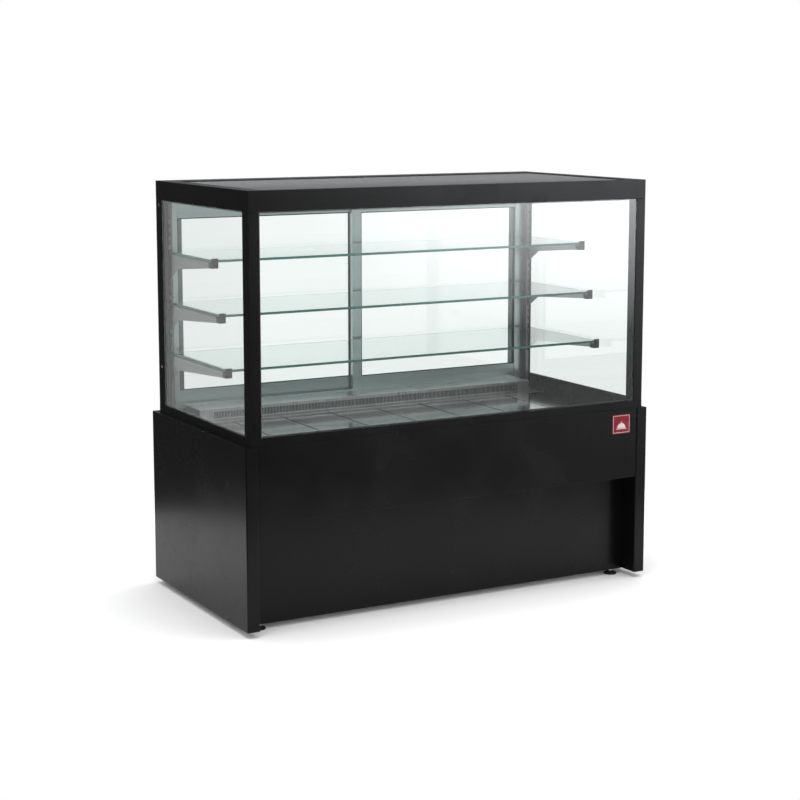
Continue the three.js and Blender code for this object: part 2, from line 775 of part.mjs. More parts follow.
// Box-section frame: its hollow opens through one vent hole in the underside of each rail.
function addTopFrame() {
  const { x, y0, y1 } = topOpening;
  const seat = overallHeight - topGlassDrop - glassThickness - gap;
  const frame = block(-caseHalf, caseHalf, caseFront, caseRear, topRailBottom, overallHeight);
  const opening = block(-x, x, y0, y1, topRailBottom - 1, overallHeight + 1);
  const rebate = block(-x - topGlassLap, x + topGlassLap, y0 - topGlassLap, y1 + topGlassLap,
    seat, overallHeight + 1);
  const wall = topRailWall;
  const z0 = topRailBottom + wall;
  const z1 = seat - wall;
  const frontHollow = block(wall - caseHalf, caseHalf - wall, caseFront + wall, y0 - wall, z0, z1);
  const rearHollow = block(wall - caseHalf, caseHalf - wall, y1 + wall, caseRear - wall, z0, z1);
  const sideHollows = [-1, 1].map((side) => sideBlock(side, x + wall, caseHalf - wall,
    caseFront + wall, caseRear - wall, z0, z1));
  const ventPlaces = [
    [(x + caseHalf) / 2, 0], [-(x + caseHalf) / 2, 0], [0, (caseFront + y0) / 2],
    [0, (caseRear + y1) / 2],
  ];
  const vents = ventPlaces.map(([ventX, ventY]) => turned([
    [0, 0], [topRailVentRadius, 0], [topRailVentRadius, 2 * wall + 1], [0, 2 * wall + 1],
  ], 12).translate(ventX, ventY, topRailBottom - 1));
  add("top_frame", cut(frame, opening, rebate, frontHollow, rearHollow, ...sideHollows, ...vents),
    blackPaint);
  const pane = topGlassLap - gap;
  add("top_glass", block(-x - pane, x + pane, y0 - pane, y1 + pane, seat + gap,
    seat + gap + glassThickness), clearGlass);
}

function addSideAndFrontGlass() {
  const z0 = sillTop + gap;
  const z1 = topRailBottom - gap;
  const outer = caseHalf - glassEdgeInset;
  const frontPlane = caseFront + glassEdgeInset;
  const frontHalf = caseHalf - postWidth - gap;
  add("front_glass", block(-frontHalf, frontHalf, frontPlane, frontPlane + glassThickness, z0, z1),
    clearGlass);
  for (const side of [-1, 1]) {
    add(`side_glass_${sideName(side)}`, sideBlock(side, outer - glassThickness, outer,
      caseFront + postDepth + gap, rearBarFront - gap, z0, z1), clearGlass);
  }
}

function addLamp() {
  const [depth, height] = lampSize;
  const y0 = topOpening.y0 + gap;
  const z1 = overallHeight - topGlassDrop - glassThickness - lampDrop;
  const z0 = z1 - height;
  const section = outline([
    [y0, z0], [y0 + sheet, z0], [y0 + sheet, z1 - sheet], [y0 + depth - sheet, z1 - sheet],
    [y0 + depth - sheet, z0], [y0 + depth, z0], [y0 + depth, z1], [y0, z1],
  ]);
  const end = topOpening.x - lampEndInset;
  add("lamp_housing", sweepX(section, -end, end), satinSteel);
  add("lamp_diffuser", block(sheet - end, end - sheet, y0 + sheet + gap, y0 + depth - sheet - gap,
    z0, z0 + height / 2), lampWhite);
}

// ---------- uprights, brackets, shelves ----------

function addUpright(side) {
  const top = topRailBottom - uprightHeadroom;
  const frontLeg = rearBarFront - gap;
  const foot = deckTop + gap;
  const step = rearSillTop + 2 * gap;
  const section = outline([
    [uprightFront, foot], [frontLeg, foot], [frontLeg, step], [uprightRear, step],
    [uprightRear, top], [uprightFront, top],
  ]);
  const slots = [];
  for (let z = firstSlot; z + slotHeight + slotEndMargin <= top; z += slotPitch) {
    slots.push(sideBlock(side, uprightCentre - slotWidth / 2, uprightCentre + slotWidth / 2,
      uprightFront - 1, uprightFront + slotDepth, z, z + slotHeight));
  }
  add(`upright_${sideName(side)}`, cut(sideSweep(side, section, uprightInner, uprightOuter), ...slots),
    satinSteel);
}

function addBracket(side, shelf) {
  const top = shelfBottoms[shelf] - gap;
  const root = uprightFront - gap;
  const tip = uprightFront - shelfReaches[shelf];
  const inner = uprightCentre - bracketSheet / 2;
  const outer = uprightCentre + bracketSheet / 2;
  const lowestHook = firstSlot + (shelfSlots[shelf] - Math.max(...hookSlots)) * slotPitch;
  const web = outline([
    [tip, top], [tip, top - bracketTipDepth], [root - bracketKneeLength, top - bracketKneeDepth],
    [root, lowestHook - bracketToe], [root, top],
  ]);
  const pieces = [
    sideSweep(side, web, inner, outer),
    sideBlock(side, outer - bracketFlange, outer, tip, root, top - bracketSheet, top),
    sideBlock(side, outer - bracketFlange, outer, tip, tip + bracketLip,
      top - bracketTipDepth, top + bracketLipHeight),
  ];
  for (const step of hookSlots) {
    const z0 = firstSlot + (shelfSlots[shelf] - step) * slotPitch + hookDrop / 2;
    pieces.push(sideBlock(side, inner, outer, root - hookHeight / 2, uprightFront + hookReach, z0,
      z0 + hookHeight));
  }
  add(`bracket_${shelfNames[shelf]}_${sideName(side)}`, join(...pieces), satinSteel);
}

function addShelf(shelf) {
  const front = uprightFront - shelfReaches[shelf] + bracketLip + gap;
  const half = uprightCentre - bracketSheet / 2 - shelfSideClearance;
  const z0 = shelfBottoms[shelf];
  add(`shelf_glass_${shelfNames[shelf]}`, block(-half, half, front,
    uprightFront - shelfRearClearance, z0, z0 + shelfThickness), shelfGlass);
}

// ---------- sliding doors ----------

function doorFront(lane) {
  return trackFront + trackSheet + lane * (trackGroove + trackSheet) + laneClearance / 2;
}

// Three-lip channel; grow is 1 for lips standing up from base and -1 for lips hanging down.
function trackOutline(base, lip, grow) {
  const plate = base + grow * trackSheet;
  const edge = base + grow * lip;
  const walls = [0, 1, 2].map((wall) => trackFront + wall * (trackGroove + trackSheet));
  const [front, middle, rear] = walls;
  const points = [
    [front, base], [rear + trackSheet, base], [rear + trackSheet, edge], [rear, edge], [rear, plate],
    [middle + trackSheet, plate], [middle + trackSheet, edge], [middle, edge], [middle, plate],
    [front + trackSheet, plate], [front + trackSheet, edge], [front, edge],
  ];
  return outline(grow > 0 ? points : points.reverse());
}

function addTracks() {
  const half = uprightInner - gap;
  add("door_track_bottom", sweepX(trackOutline(rearSillTop + gap, trackLip, 1), -half, half),
    doorAluminium);
  add("door_track_top", sweepX(trackOutline(topRailBottom - gap, topTrackLip, -1), -half, half),
    doorAluminium);
}

// side 1 is the right door, on the inner lane; side -1 is the left door, on the outer lane.
function addDoor(side) {
  const y0 = doorFront(side > 0 ? 0 : 1);
  const y1 = y0 + doorThickness;
  const lap = doorStile / 2;
  const bottom = rearSillTop + doorFootRise;
  const top = topRailBottom - doorHeadDrop;
  const z0 = bottom + doorBottomRail;
  const z1 = top - doorTopRail;
  const inner = -lap + doorStile;
  const outer = doorHalf - doorStile;
  const ring = cut(
    sideBlock(side, -lap, doorHalf, y0, y1, bottom, top),
    sideBlock(side, inner, outer, y0 - 1, y1 + 1, z0, z1));
  const pull = sideBlock(side, outer - doorPull, outer + 1, y1 - doorPullThickness, y1,
    z0 - 1, z1 + 1);
  add(`door_frame_${sideName(side)}`, join(ring, pull), doorAluminium);
  const mid = (y0 + y1) / 2;
  add(`door_glass_${sideName(side)}`, sideBlock(side, inner + gap, outer - gap,
    mid - doorGlass / 2, mid + doorGlass / 2, z0 + gap, z1 - gap), clearGlass);
}

// ---------- assembly ----------

addBaseTray();
addFeet();
addFascia();
addKickPanel();
addServicePanel();
addCableGland();
addControlPanel();
addSwitches();
addKnob();
addDisplay();
addBadge();
addWellPan();
addHeater();
addFanPlate();
addFanWheels();
addDeckPlates();
addAirGrille();
addSill();
addPosts();
addTopFrame();
addSideAndFrontGlass();
addLamp();
addTracks();
for (const side of [-1, 1]) {
  addEndPanel(side);
  addUpright(side);
  addDoor(side);
}
shelfBottoms.forEach((_, shelf) => {
  addShelf(shelf);
  addBracket(-1, shelf);
  addBracket(1, shelf);
});

export default group;
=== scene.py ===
"""Looks of a glazed hot food display case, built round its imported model. Metres, +Z up, customer side -Y."""

import json
from math import cos, pi, radians, sin

import bmesh
import bpy
from mathutils import Matrix, Vector


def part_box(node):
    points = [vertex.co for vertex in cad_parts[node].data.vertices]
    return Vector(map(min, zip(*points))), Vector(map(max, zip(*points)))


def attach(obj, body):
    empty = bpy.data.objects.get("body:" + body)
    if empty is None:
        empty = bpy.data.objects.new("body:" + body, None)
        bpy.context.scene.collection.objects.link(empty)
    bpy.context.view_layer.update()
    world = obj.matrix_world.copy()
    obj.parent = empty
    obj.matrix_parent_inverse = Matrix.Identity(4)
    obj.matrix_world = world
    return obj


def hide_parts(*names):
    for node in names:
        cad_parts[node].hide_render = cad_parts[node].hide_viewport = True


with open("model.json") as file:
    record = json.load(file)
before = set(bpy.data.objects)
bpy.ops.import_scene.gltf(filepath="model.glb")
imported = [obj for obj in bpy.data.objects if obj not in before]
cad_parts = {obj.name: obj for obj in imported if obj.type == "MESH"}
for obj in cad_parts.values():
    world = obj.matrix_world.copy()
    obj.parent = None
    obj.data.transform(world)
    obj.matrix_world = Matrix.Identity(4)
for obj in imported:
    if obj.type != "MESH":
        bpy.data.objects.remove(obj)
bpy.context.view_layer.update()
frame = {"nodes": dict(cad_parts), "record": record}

MM = 0.001
X, Y, Z = Vector((1, 0, 0)), Vector((0, 1, 0)), Vector((0, 0, 1))
BODY_OF = {node: body for body, nodes in frame["record"]["behaviour"]["bodies"].items() for node in nodes}
SLOT_OF = {part["node"]: part["material_slot"] for part in frame["record"]["subparts"]}
SIDES = {"left": -1, "right": 1}
SHELVES = ("top", "middle", "bottom")


# ---------- stage: camera, floor, background, lights ----------

def link(thing):
    bpy.context.scene.collection.objects.link(thing)
    return thing


def add_camera():
    data = bpy.data.cameras.new("camera")
    data.sensor_width = 36
    data.lens = 80.8
    data.shift_y = -0.055
    camera = link(bpy.data.objects.new("camera", data))
    camera.location = (-2.9406, -5.2406, 1.6545)
    camera.rotation_euler = (radians(81.687), 0, radians(-29.264))
    bpy.context.scene.camera = camera


def add_light(name, place, aim, size, power):
    data = bpy.data.lights.new(name, "AREA")
    data.shape = "RECTANGLE"
    data.size, data.size_y = size
    data.energy = power
    lamp = link(bpy.data.objects.new(name, data))
    lamp.location = place
    lamp.rotation_euler = (Vector(aim) - Vector(place)).to_track_quat("-Z", "Y").to_euler()
    lamp.visible_camera = lamp.visible_transmission = lamp.visible_glossy = False


def add_lights():
    add_light("overhead_softbox", (0, -0.3, 3.6), (0, 0, 0), (3.4, 2.6), 95)
    add_light("front_right_softbox", (3.95, -5.3, 1.35), (0, -0.3, 1.0), (2.0, 1.7), 40)


# White where it is looked at, directly or through glass. Reflections see a studio that is
# half lit above the horizon behind the case, with a soft glow in front of it to the right.
def add_background():
    world = bpy.data.worlds.new("background")
    bpy.context.scene.world = world
    world.use_nodes = True
    tree = world.node_tree
    tree.nodes.clear()
    direction = place(tree, "ShaderNodeSeparateXYZ",
                      {0: place(tree, "ShaderNodeTexCoord").outputs["Generated"]})
    above = ramp(tree, direction.outputs["Z"], -0.03, 0.06)
    behind = ramp(tree, direction.outputs["Y"], -0.5, 0.5, 0.05, 0.22)
    dim = ramp(tree, multiply(tree, above, behind), 0, 1, 0.08, 1.0)
    towards = place(tree, "ShaderNodeVectorMath", {0: place(tree, "ShaderNodeTexCoord").outputs["Generated"],
                    1: (0.65, -0.76, -0.02)}, operation="DOT_PRODUCT").outputs["Value"]
    glow = place(tree, "ShaderNodeMapRange", {"Value": towards, "From Min": 0.966, "From Max": 0.992,
                 "To Min": 0.0, "To Max": 9.0}, interpolation_type="SMOOTHSTEP").outputs[0]
    glow = multiply(tree, glow, ramp(tree, direction.outputs["Z"], -0.13, -0.04))
    lit = place(tree, "ShaderNodeMath", {0: dim, 1: glow}, operation="ADD").outputs[0]
    path = place(tree, "ShaderNodeLightPath")
    white = place(tree, "ShaderNodeBackground", {"Color": (1, 1, 1, 1)})
    studio = place(tree, "ShaderNodeBackground", {"Color": (0.96, 0.98, 1, 1), "Strength": lit})
    mirrored = place(tree, "ShaderNodeMath", {0: path.outputs["Is Glossy Ray"],
                     1: path.outputs["Is Transmission Ray"]}, operation="SUBTRACT", use_clamp=True)
    mixed = place(tree, "ShaderNodeMixShader", {0: mirrored.outputs[0], 1: white.outputs[0],
                  2: studio.outputs[0]})
    place(tree, "ShaderNodeOutputWorld", {"Surface": mixed.outputs[0]})


def add_floor():
    bm = bmesh.new()
    bmesh.ops.create_circle(bm, cap_ends=True, segments=128, radius=1.75)
    mesh = bpy.data.meshes.new("floor")
    bm.to_mesh(mesh)
    bm.free()
    floor = link(bpy.data.objects.new("floor", mesh))
    material, tree, shader = new_finish("studio_floor", {"Roughness": 0.9, "Specular IOR Level": 0.1})
    mottle = place(tree, "ShaderNodeTexNoise", {"Vector": object_point(tree), "Scale": 1.5})
    tone = blend_colours(tree, mottle.outputs["Fac"], (0.94, 0.94, 0.94, 1), (0.97, 0.97, 0.97, 1))
    tree.links.new(tone, shader.inputs["Base Color"])
    mesh.materials.append(material)


# ---------- node helpers ----------

def place(tree, kind, inputs=None, **settings):
    made = tree.nodes.new(kind)
    for name, value in settings.items():
        setattr(made, name, value)
    for key, value in (inputs or {}).items():
        if isinstance(value, bpy.types.NodeSocket):
            tree.links.new(value, made.inputs[key])
        else:
            made.inputs[key].default_value = value
    return made


def object_point(tree):
    return place(tree, "ShaderNodeTexCoord").outputs["Object"]


def blend_colours(tree, factor, low, high):
    mix = place(tree, "ShaderNodeMix", {0: factor, 6: low, 7: high}, data_type="RGBA")
    return mix.outputs[2]


def ramp(tree, value, low, high, to_low=0.0, to_high=1.0):
    made = place(tree, "ShaderNodeMapRange", {"Value": value, "From Min": low, "From Max": high,
                 "To Min": to_low, "To Max": to_high})
    return made.outputs[0]


def multiply(tree, a, b):
    return place(tree, "ShaderNodeMath", {0: a, 1: b}, operation="MULTIPLY").outputs[0]


def new_finish(name, inputs):
    material = bpy.data.materials.new(name)
    material.use_nodes = True
    tree = material.node_tree
    tree.nodes.clear()
    shader = place(tree, "ShaderNodeBsdfPrincipled", inputs)
    place(tree, "ShaderNodeOutputMaterial", {"Surface": shader.outputs[0]})
    return material, tree, shader


def add_bump(tree, shader, height, depth, strength=1.0):
    bump = place(tree, "ShaderNodeBump", {"Height": height, "Distance": depth, "Strength": strength})
    tree.links.new(bump.outputs[0], shader.inputs["Normal"])


def new_group(name, inputs, outputs):
    group = bpy.data.node_groups.new(name, "ShaderNodeTree")
    for label, kind, value in inputs:
        socket = group.interface.new_socket(label, in_out="INPUT", socket_type=kind)
        socket.default_value = value
    for label in outputs:
        group.interface.new_socket(label, in_out="OUTPUT", socket_type="NodeSocketFloat")
    return group, group.nodes.new("NodeGroupInput"), group.nodes.new("NodeGroupOutput")


def use_group(tree, group, **values):
    made = place(tree, "ShaderNodeGroup", node_tree=group)
    for label, value in values.items():
        made.inputs[label.replace("_", " ")].default_value = value
    return made.outputs


# ---------- shared effects ----------

# Fine grain of a powder coat or a moulding: a height, and a slower drift in tone.
def make_grain():
    group, given, out = new_group("surface_grain", [("Scale", "NodeSocketFloat", 900.0),
                                  ("Drift Scale", "NodeSocketFloat", 6.0)], ["Height", "Drift"])
    point = object_point(group)
    fine = place(group, "ShaderNodeTexNoise", {"Vector": point, "Scale": given.outputs["Scale"],
                 "Detail": 3.0, "Roughness": 0.6})
    slow = place(group, "ShaderNodeTexNoise", {"Vector": point, "Scale": given.outputs["Drift Scale"],
                 "Detail": 5.0})
    group.links.new(fine.outputs["Fac"], out.inputs["Height"])
    group.links.new(slow.outputs["Fac"], out.inputs["Drift"])
    return group


# Long parallel lines left by brushing, drawing or polishing, along the axis with the small scale.
def make_brushing():
    group, given, out = new_group("brushed_lines", [("Lines", "NodeSocketVector", (4.0, 900.0, 900.0))],
                                  ["Line", "Band"])
    mapped = place(group, "ShaderNodeMapping", {"Vector": object_point(group),
                   "Scale": given.outputs["Lines"]}).outputs[0]
    fine = place(group, "ShaderNodeTexNoise", {"Vector": mapped, "Scale": 1.0, "Detail": 4.0,
                 "Roughness": 0.7})
    broad = place(group, "ShaderNodeTexNoise", {"Vector": mapped, "Scale": 0.12, "Detail": 2.0})
    group.links.new(fine.outputs["Fac"], out.inputs["Line"])
    group.links.new(broad.outputs["Fac"], out.inputs["Band"])
    return group


# Hair scratches in two directions, and soft wiping marks.
def make_handling():
    group, given, out = new_group("handling_marks", [("Amount", "NodeSocketFloat", 1.0)],
                                  ["Scratch", "Wipe"])
    masks = []
    for turn, scale in ((0.6, 14.0), (-0.9, 19.0)):
        mapped = place(group, "ShaderNodeMapping", {"Vector": object_point(group),
                       "Rotation": (turn, turn * 0.7, turn * 1.3),
                       "Scale": (scale * 30, scale, scale)}).outputs[0]
        line = place(group, "ShaderNodeTexNoise", {"Vector": mapped, "Scale": 1.0, "Detail": 2.0})
        masks.append(ramp(group, line.outputs["Fac"], 0.68, 0.74))
    both = place(group, "ShaderNodeMath", {0: masks[0], 1: masks[1]}, operation="MAXIMUM").outputs[0]
    group.links.new(multiply(group, both, given.outputs["Amount"]), out.inputs["Scratch"])
    wipe = place(group, "ShaderNodeTexNoise", {"Vector": object_point(group), "Scale": 9.0,
                 "Detail": 6.0, "Distortion": 1.2})
    soft = ramp(group, wipe.outputs["Fac"], 0.45, 0.75)
    group.links.new(multiply(group, soft, given.outputs["Amount"]), out.inputs["Wipe"])
    return group


# Rubbed edges with painted highlight: the rounded edge faces carry an "edge" value of 1, broken up by noise,
# and are coloured lighter, partly as wear and partly as a painted highlight.
def make_edge_wear_and_highlight():
    group, given, out = new_group("rubbed_and_highlit_edges", [("Amount", "NodeSocketFloat", 0.5)], ["Mask"])
    edge = place(group, "ShaderNodeAttribute", attribute_name="edge").outputs["Fac"]
    noise = place(group, "ShaderNodeTexNoise", {"Vector": object_point(group), "Scale": 45.0,
                  "Detail": 4.0})
    patchy = ramp(group, noise.outputs["Fac"], 0.35, 0.7)
    lit_rubbed_mask = multiply(group, edge, patchy)
    group.links.new(multiply(group, lit_rubbed_mask, given.outputs["Amount"]), out.inputs["Mask"])
    return group


GRAIN = make_grain()
BRUSHING = make_brushing()
HANDLING = make_handling()
EDGE_WEAR_AND_HIGHLIGHT = make_edge_wear_and_highlight()


# ---------- finishes ----------

def black_powder_coat():
    material, tree, shader = new_finish("black_powder_coat", {"Specular IOR Level": 0.15})
    grain = use_group(tree, GRAIN, Scale=1100.0, Drift_Scale=5.0)
    marks = use_group(tree, HANDLING, Amount=0.5)
    edge_wear_and_highlight = use_group(tree, EDGE_WEAR_AND_HIGHLIGHT, Amount=0.5)
    coat = blend_colours(tree, grain["Drift"], (0.0022, 0.0022, 0.0025, 1), (0.0042, 0.0042, 0.0046, 1))
    # Rounded edges coloured lighter: rubbed wear and painted highlight.
    worn_and_highlit = blend_colours(tree, edge_wear_and_highlight["Mask"], coat, (0.03, 0.03, 0.032, 1))
    tree.links.new(worn_and_highlit, shader.inputs["Base Color"])
    rough = place(tree, "ShaderNodeMath", {0: multiply(tree, marks["Wipe"], 0.06),
                  1: ramp(tree, grain["Drift"], 0.3, 0.7, 0.22, 0.28)}, operation="ADD")
    tree.links.new(rough.outputs[0], shader.inputs["Roughness"])
    add_bump(tree, shader, grain["Height"], 0.00004, 0.35)
    return material


def moulded_plastic(name, dark, light, roughness=0.5):
    material, tree, shader = new_finish(name, {"Specular IOR Level": 0.4})
    grain = use_group(tree, GRAIN, Scale=1800.0, Drift_Scale=25.0)
    edge_wear_and_highlight = use_group(tree, EDGE_WEAR_AND_HIGHLIGHT, Amount=0.35)
    tone = blend_colours(tree, grain["Drift"], dark, light)
    # Rounded edges coloured lighter: rubbed wear and painted highlight.
    worn_and_highlit = blend_colours(tree, edge_wear_and_highlight["Mask"], tone, [min(1, 3 * part + 0.03) for part in light[:3]] + [1])
    tree.links.new(worn_and_highlit, shader.inputs["Base Color"])
    tree.links.new(ramp(tree, grain["Drift"], 0.3, 0.7, roughness - 0.05, roughness + 0.06),
                   shader.inputs["Roughness"])
    add_bump(tree, shader, grain["Height"], 0.00008, 0.5)
    return material


def brushed_metal(name, dark, light, lines, roughness, scratch=0.6, bump=0.3):
    material, tree, shader = new_finish(name, {"Metallic": 1.0})
    brush = use_group(tree, BRUSHING, Lines=lines)
    marks = use_group(tree, HANDLING, Amount=scratch)
    edge_wear_and_highlight = use_group(tree, EDGE_WEAR_AND_HIGHLIGHT, Amount=0.5)
    tone = blend_colours(tree, ramp(tree, brush["Band"], 0.1, 0.9), dark, light)
    bright = [min(1, part * 1.25) for part in light[:3]] + [1]
    scratched = blend_colours(tree, multiply(tree, marks["Scratch"], 0.25), tone, bright)
    # Rounded edges coloured lighter: rubbed wear and painted highlight.
    worn_and_highlit = blend_colours(tree, edge_wear_and_highlight["Mask"], scratched, bright)
    tree.links.new(worn_and_highlit, shader.inputs["Base Color"])
    base = ramp(tree, brush["Line"], 0.2, 0.8, roughness * 0.88, roughness * 1.12)
    rough = place(tree, "ShaderNodeMath", {0: multiply(tree, marks["Wipe"], 0.08), 1: base},
                  operation="ADD")
    tree.links.new(rough.outputs[0], shader.inputs["Roughness"])
    add_bump(tree, shader, brush["Line"], 0.00003, bump)
    return material


def galvanised_steel():
    material, tree, shader = new_finish("galvanised_steel", {"Metallic": 0.9})
    cells = place(tree, "ShaderNodeTexVoronoi", {"Vector": object_point(tree), "Scale": 70.0})
    spangle = place(tree, "ShaderNodeRGBToBW", {"Color": cells.outputs["Color"]}).outputs[0]
    tone = blend_colours(tree, spangle, (0.36, 0.37, 0.37, 1), (0.56, 0.57, 0.56, 1))
    tree.links.new(tone, shader.inputs["Base Color"])
    tree.links.new(ramp(tree, spangle, 0, 1, 0.35, 0.55), shader.inputs["Roughness"])
    add_bump(tree, shader, spangle, 0.00005, 0.3)
    return material


def heater_sheath():
    material, tree, shader = new_finish("heater_sheath", {"Metallic": 0.85})
    grain = use_group(tree, GRAIN, Scale=1500.0, Drift_Scale=14.0)
    tint = place(tree, "ShaderNodeValToRGB", {"Fac": grain["Drift"]})
    stops = tint.color_ramp.elements
    stops[0].position, stops[0].color = 0.3, (0.09, 0.075, 0.065, 1)
    stops[1].position, stops[1].color = 0.72, (0.22, 0.19, 0.2, 1)
    straw = stops.new(0.5)
    straw.color = (0.24, 0.16, 0.09, 1)
    tree.links.new(tint.outputs["Color"], shader.inputs["Base Color"])
    tree.links.new(ramp(tree, grain["Drift"], 0.3, 0.7, 0.35, 0.6), shader.inputs["Roughness"])
    add_bump(tree, shader, grain["Height"], 0.00006, 0.5)
    return material


# Glass whose shadows are light, so that the lamps reach what stands behind it.
def clear_glass(name, tint_low, tint_high):
    material, tree, shader = new_finish(name, {"Transmission Weight": 1.0, "IOR": 1.5, "Roughness": 0.0})
    drift = place(tree, "ShaderNodeTexNoise", {"Vector": object_point(tree), "Scale": 2.0})
    tree.links.new(blend_colours(tree, drift.outputs["Fac"], tint_low, tint_high),
                   shader.inputs["Base Color"])
    path = place(tree, "ShaderNodeLightPath")
    open_pass = place(tree, "ShaderNodeBsdfTransparent", {"Color": tint_high})
    mixed = place(tree, "ShaderNodeMixShader", {0: path.outputs["Is Shadow Ray"],
                  1: shader.outputs[0], 2: open_pass.outputs[0]})
    output = next(node for node in tree.nodes if node.type == "OUTPUT_MATERIAL")
    tree.links.new(mixed.outputs[0], output.inputs["Surface"])
    return material


# Ground and polished edge of a green-tinted pane.
def glass_edge():
    material, tree, shader = new_finish("glass_polished_edge", {"Roughness": 0.12, "IOR": 1.5})
    shader.inputs["Transmission Weight"].default_value = 0.55
    lines = use_group(tree, BRUSHING, Lines=(3.0, 3.0, 700.0))
    tone = blend_colours(tree, ramp(tree, lines["Band"], 0.3, 0.7), (0.006, 0.085, 0.072, 1),
                         (0.02, 0.2, 0.17, 1))
    tree.links.new(tone, shader.inputs["Base Color"])
    return material


def badge_enamel():
    material, tree, shader = new_finish("badge_enamel", {"Specular IOR Level": 0.25, "Coat Weight": 0.08})
    grain = use_group(tree, GRAIN, Scale=500.0, Drift_Scale=30.0)
    edge_wear_and_highlight = use_group(tree, EDGE_WEAR_AND_HIGHLIGHT, Amount=0.4)
    tone = blend_colours(tree, grain["Drift"], (0.15, 0.006, 0.012, 1), (0.22, 0.009, 0.018, 1))
    # Rounded edges coloured lighter: rubbed wear and painted highlight.
    tree.links.new(blend_colours(tree, edge_wear_and_highlight["Mask"], tone, (0.5, 0.3, 0.3, 1)), shader.inputs["Base Color"])
    tree.links.new(ramp(tree, grain["Drift"], 0.3, 0.7, 0.22, 0.32), shader.inputs["Roughness"])
    add_bump(tree, shader, grain["Height"], 0.00003, 0.3)
    return material


def badge_print():
    material, tree, shader = new_finish("badge_pale_print", {"Specular IOR Level": 0.4})
    grain = use_group(tree, GRAIN, Scale=600.0, Drift_Scale=40.0)
    tree.links.new(blend_colours(tree, grain["Drift"], (0.5, 0.44, 0.43, 1), (0.68, 0.62, 0.6, 1)),
                   shader.inputs["Base Color"])
    tree.links.new(ramp(tree, grain["Drift"], 0.3, 0.7, 0.35, 0.5), shader.inputs["Roughness"])
    return material


def display_lens():
    material, tree, shader = new_finish("display_lens", {"Coat Weight": 1.0, "Coat Roughness": 0.02})
    marks = use_group(tree, HANDLING, Amount=0.6)
    tree.links.new(blend_colours(tree, marks["Wipe"], (0.006, 0.007, 0.01, 1), (0.012, 0.013, 0.016, 1)),
                   shader.inputs["Base Color"])
    tree.links.new(ramp(tree, marks["Wipe"], 0, 1, 0.06, 0.22), shader.inputs["Roughness"])
    return material


def display_digits():
    material, tree, shader = new_finish("display_digits", {"Roughness": 0.4, "Emission Strength": 1.6})
    grain = use_group(tree, GRAIN, Scale=900.0, Drift_Scale=60.0)
    tone = blend_colours(tree, grain["Drift"], (0.75, 0.08, 0.03, 1), (0.95, 0.14, 0.05, 1))
    tree.links.new(tone, shader.inputs["Base Color"])
    tree.links.new(tone, shader.inputs["Emission Color"])
    return material


def lamp_diffuser():
    material, tree, shader = new_finish("lamp_diffuser", {"Roughness": 0.45, "Emission Strength": 0.5})
    lines = use_group(tree, BRUSHING, Lines=(2.0, 500.0, 500.0))
    tone = blend_colours(tree, lines["Line"], (0.8, 0.79, 0.75, 1), (0.9, 0.89, 0.86, 1))
    tree.links.new(tone, shader.inputs["Base Color"])
    tree.links.new(tone, shader.inputs["Emission Color"])
    add_bump(tree, shader, lines["Line"], 0.0001, 0.4)
    return material


ALONG_X = (3.0, 700.0, 700.0)
ALONG_Z = (700.0, 700.0, 3.0)
ALONG_Y = (700.0, 3.0, 700.0)
FINISHES = {
    "black_powder_coat": black_powder_coat(),
    "black_plastic": moulded_plastic("black_plastic", (0.008, 0.008, 0.009, 1), (0.02, 0.02, 0.021, 1)),
    "galvanised_steel": galvanised_steel(),
    "satin_stainless": brushed_metal("satin_stainless", (0.24, 0.245, 0.245, 1), (0.34, 0.345, 0.345, 1),
                                     ALONG_Z, 0.32),
    "polished_stainless": brushed_metal("polished_stainless", (0.25, 0.265, 0.265, 1),
                                        (0.34, 0.355, 0.355, 1), ALONG_Y, 0.11, 0.3, 0.03),
    "door_aluminium": brushed_metal("door_aluminium", (0.34, 0.4, 0.395, 1), (0.43, 0.5, 0.495, 1),
                                    ALONG_Z, 0.34),
    "heater_sheath": heater_sheath(),
    "clear_glass": clear_glass("clear_glass", (0.95, 0.985, 0.975, 1), (0.97, 0.995, 0.985, 1)),
    "shelf_glass": clear_glass("shelf_glass", (0.72, 0.8, 0.78, 1), (0.76, 0.84, 0.82, 1)),
    "badge_enamel": badge_enamel(),
    "display_lens": display_lens(),
    "lamp_diffuser": lamp_diffuser(),
}
SATIN_ACROSS = brushed_metal("satin_stainless_lengthwise", (0.2, 0.205, 0.205, 1),
                             (0.3, 0.305, 0.305, 1), ALONG_Y, 0.3)
# Darker copy of the satin steel for the uprights: painted shade.
UPRIGHT_STEEL_SHADED = brushed_metal("satin_stainless_upright_painted_shade", (0.1, 0.103, 0.103, 1),
                              (0.15, 0.153, 0.153, 1), ALONG_Z, 0.32)
# Lighter copy of the satin steel for the grille and its ledge: painted light.
GRILLE_STEEL_LIT = brushed_metal("satin_stainless_grille_painted_light", (0.46, 0.47, 0.47, 1), (0.6, 0.61, 0.61, 1),
                             ALONG_Z, 0.28)
RAIL_ALUMINIUM = brushed_metal("door_aluminium_lengthwise", (0.3, 0.36, 0.36, 1),
                               (0.4, 0.47, 0.47, 1), ALONG_X, 0.34)
# Darker copy of the door aluminium for the pull channel: painted shade in the recess.
PULL_SHADE = brushed_metal("door_pull_recess_painted_shade", (0.05, 0.075, 0.078, 1), (0.08, 0.11, 0.115, 1),
                           ALONG_Z, 0.4)
GLASS_EDGE = glass_edge()
BADGE_PRINT = badge_print()
DIGITS = display_digits()
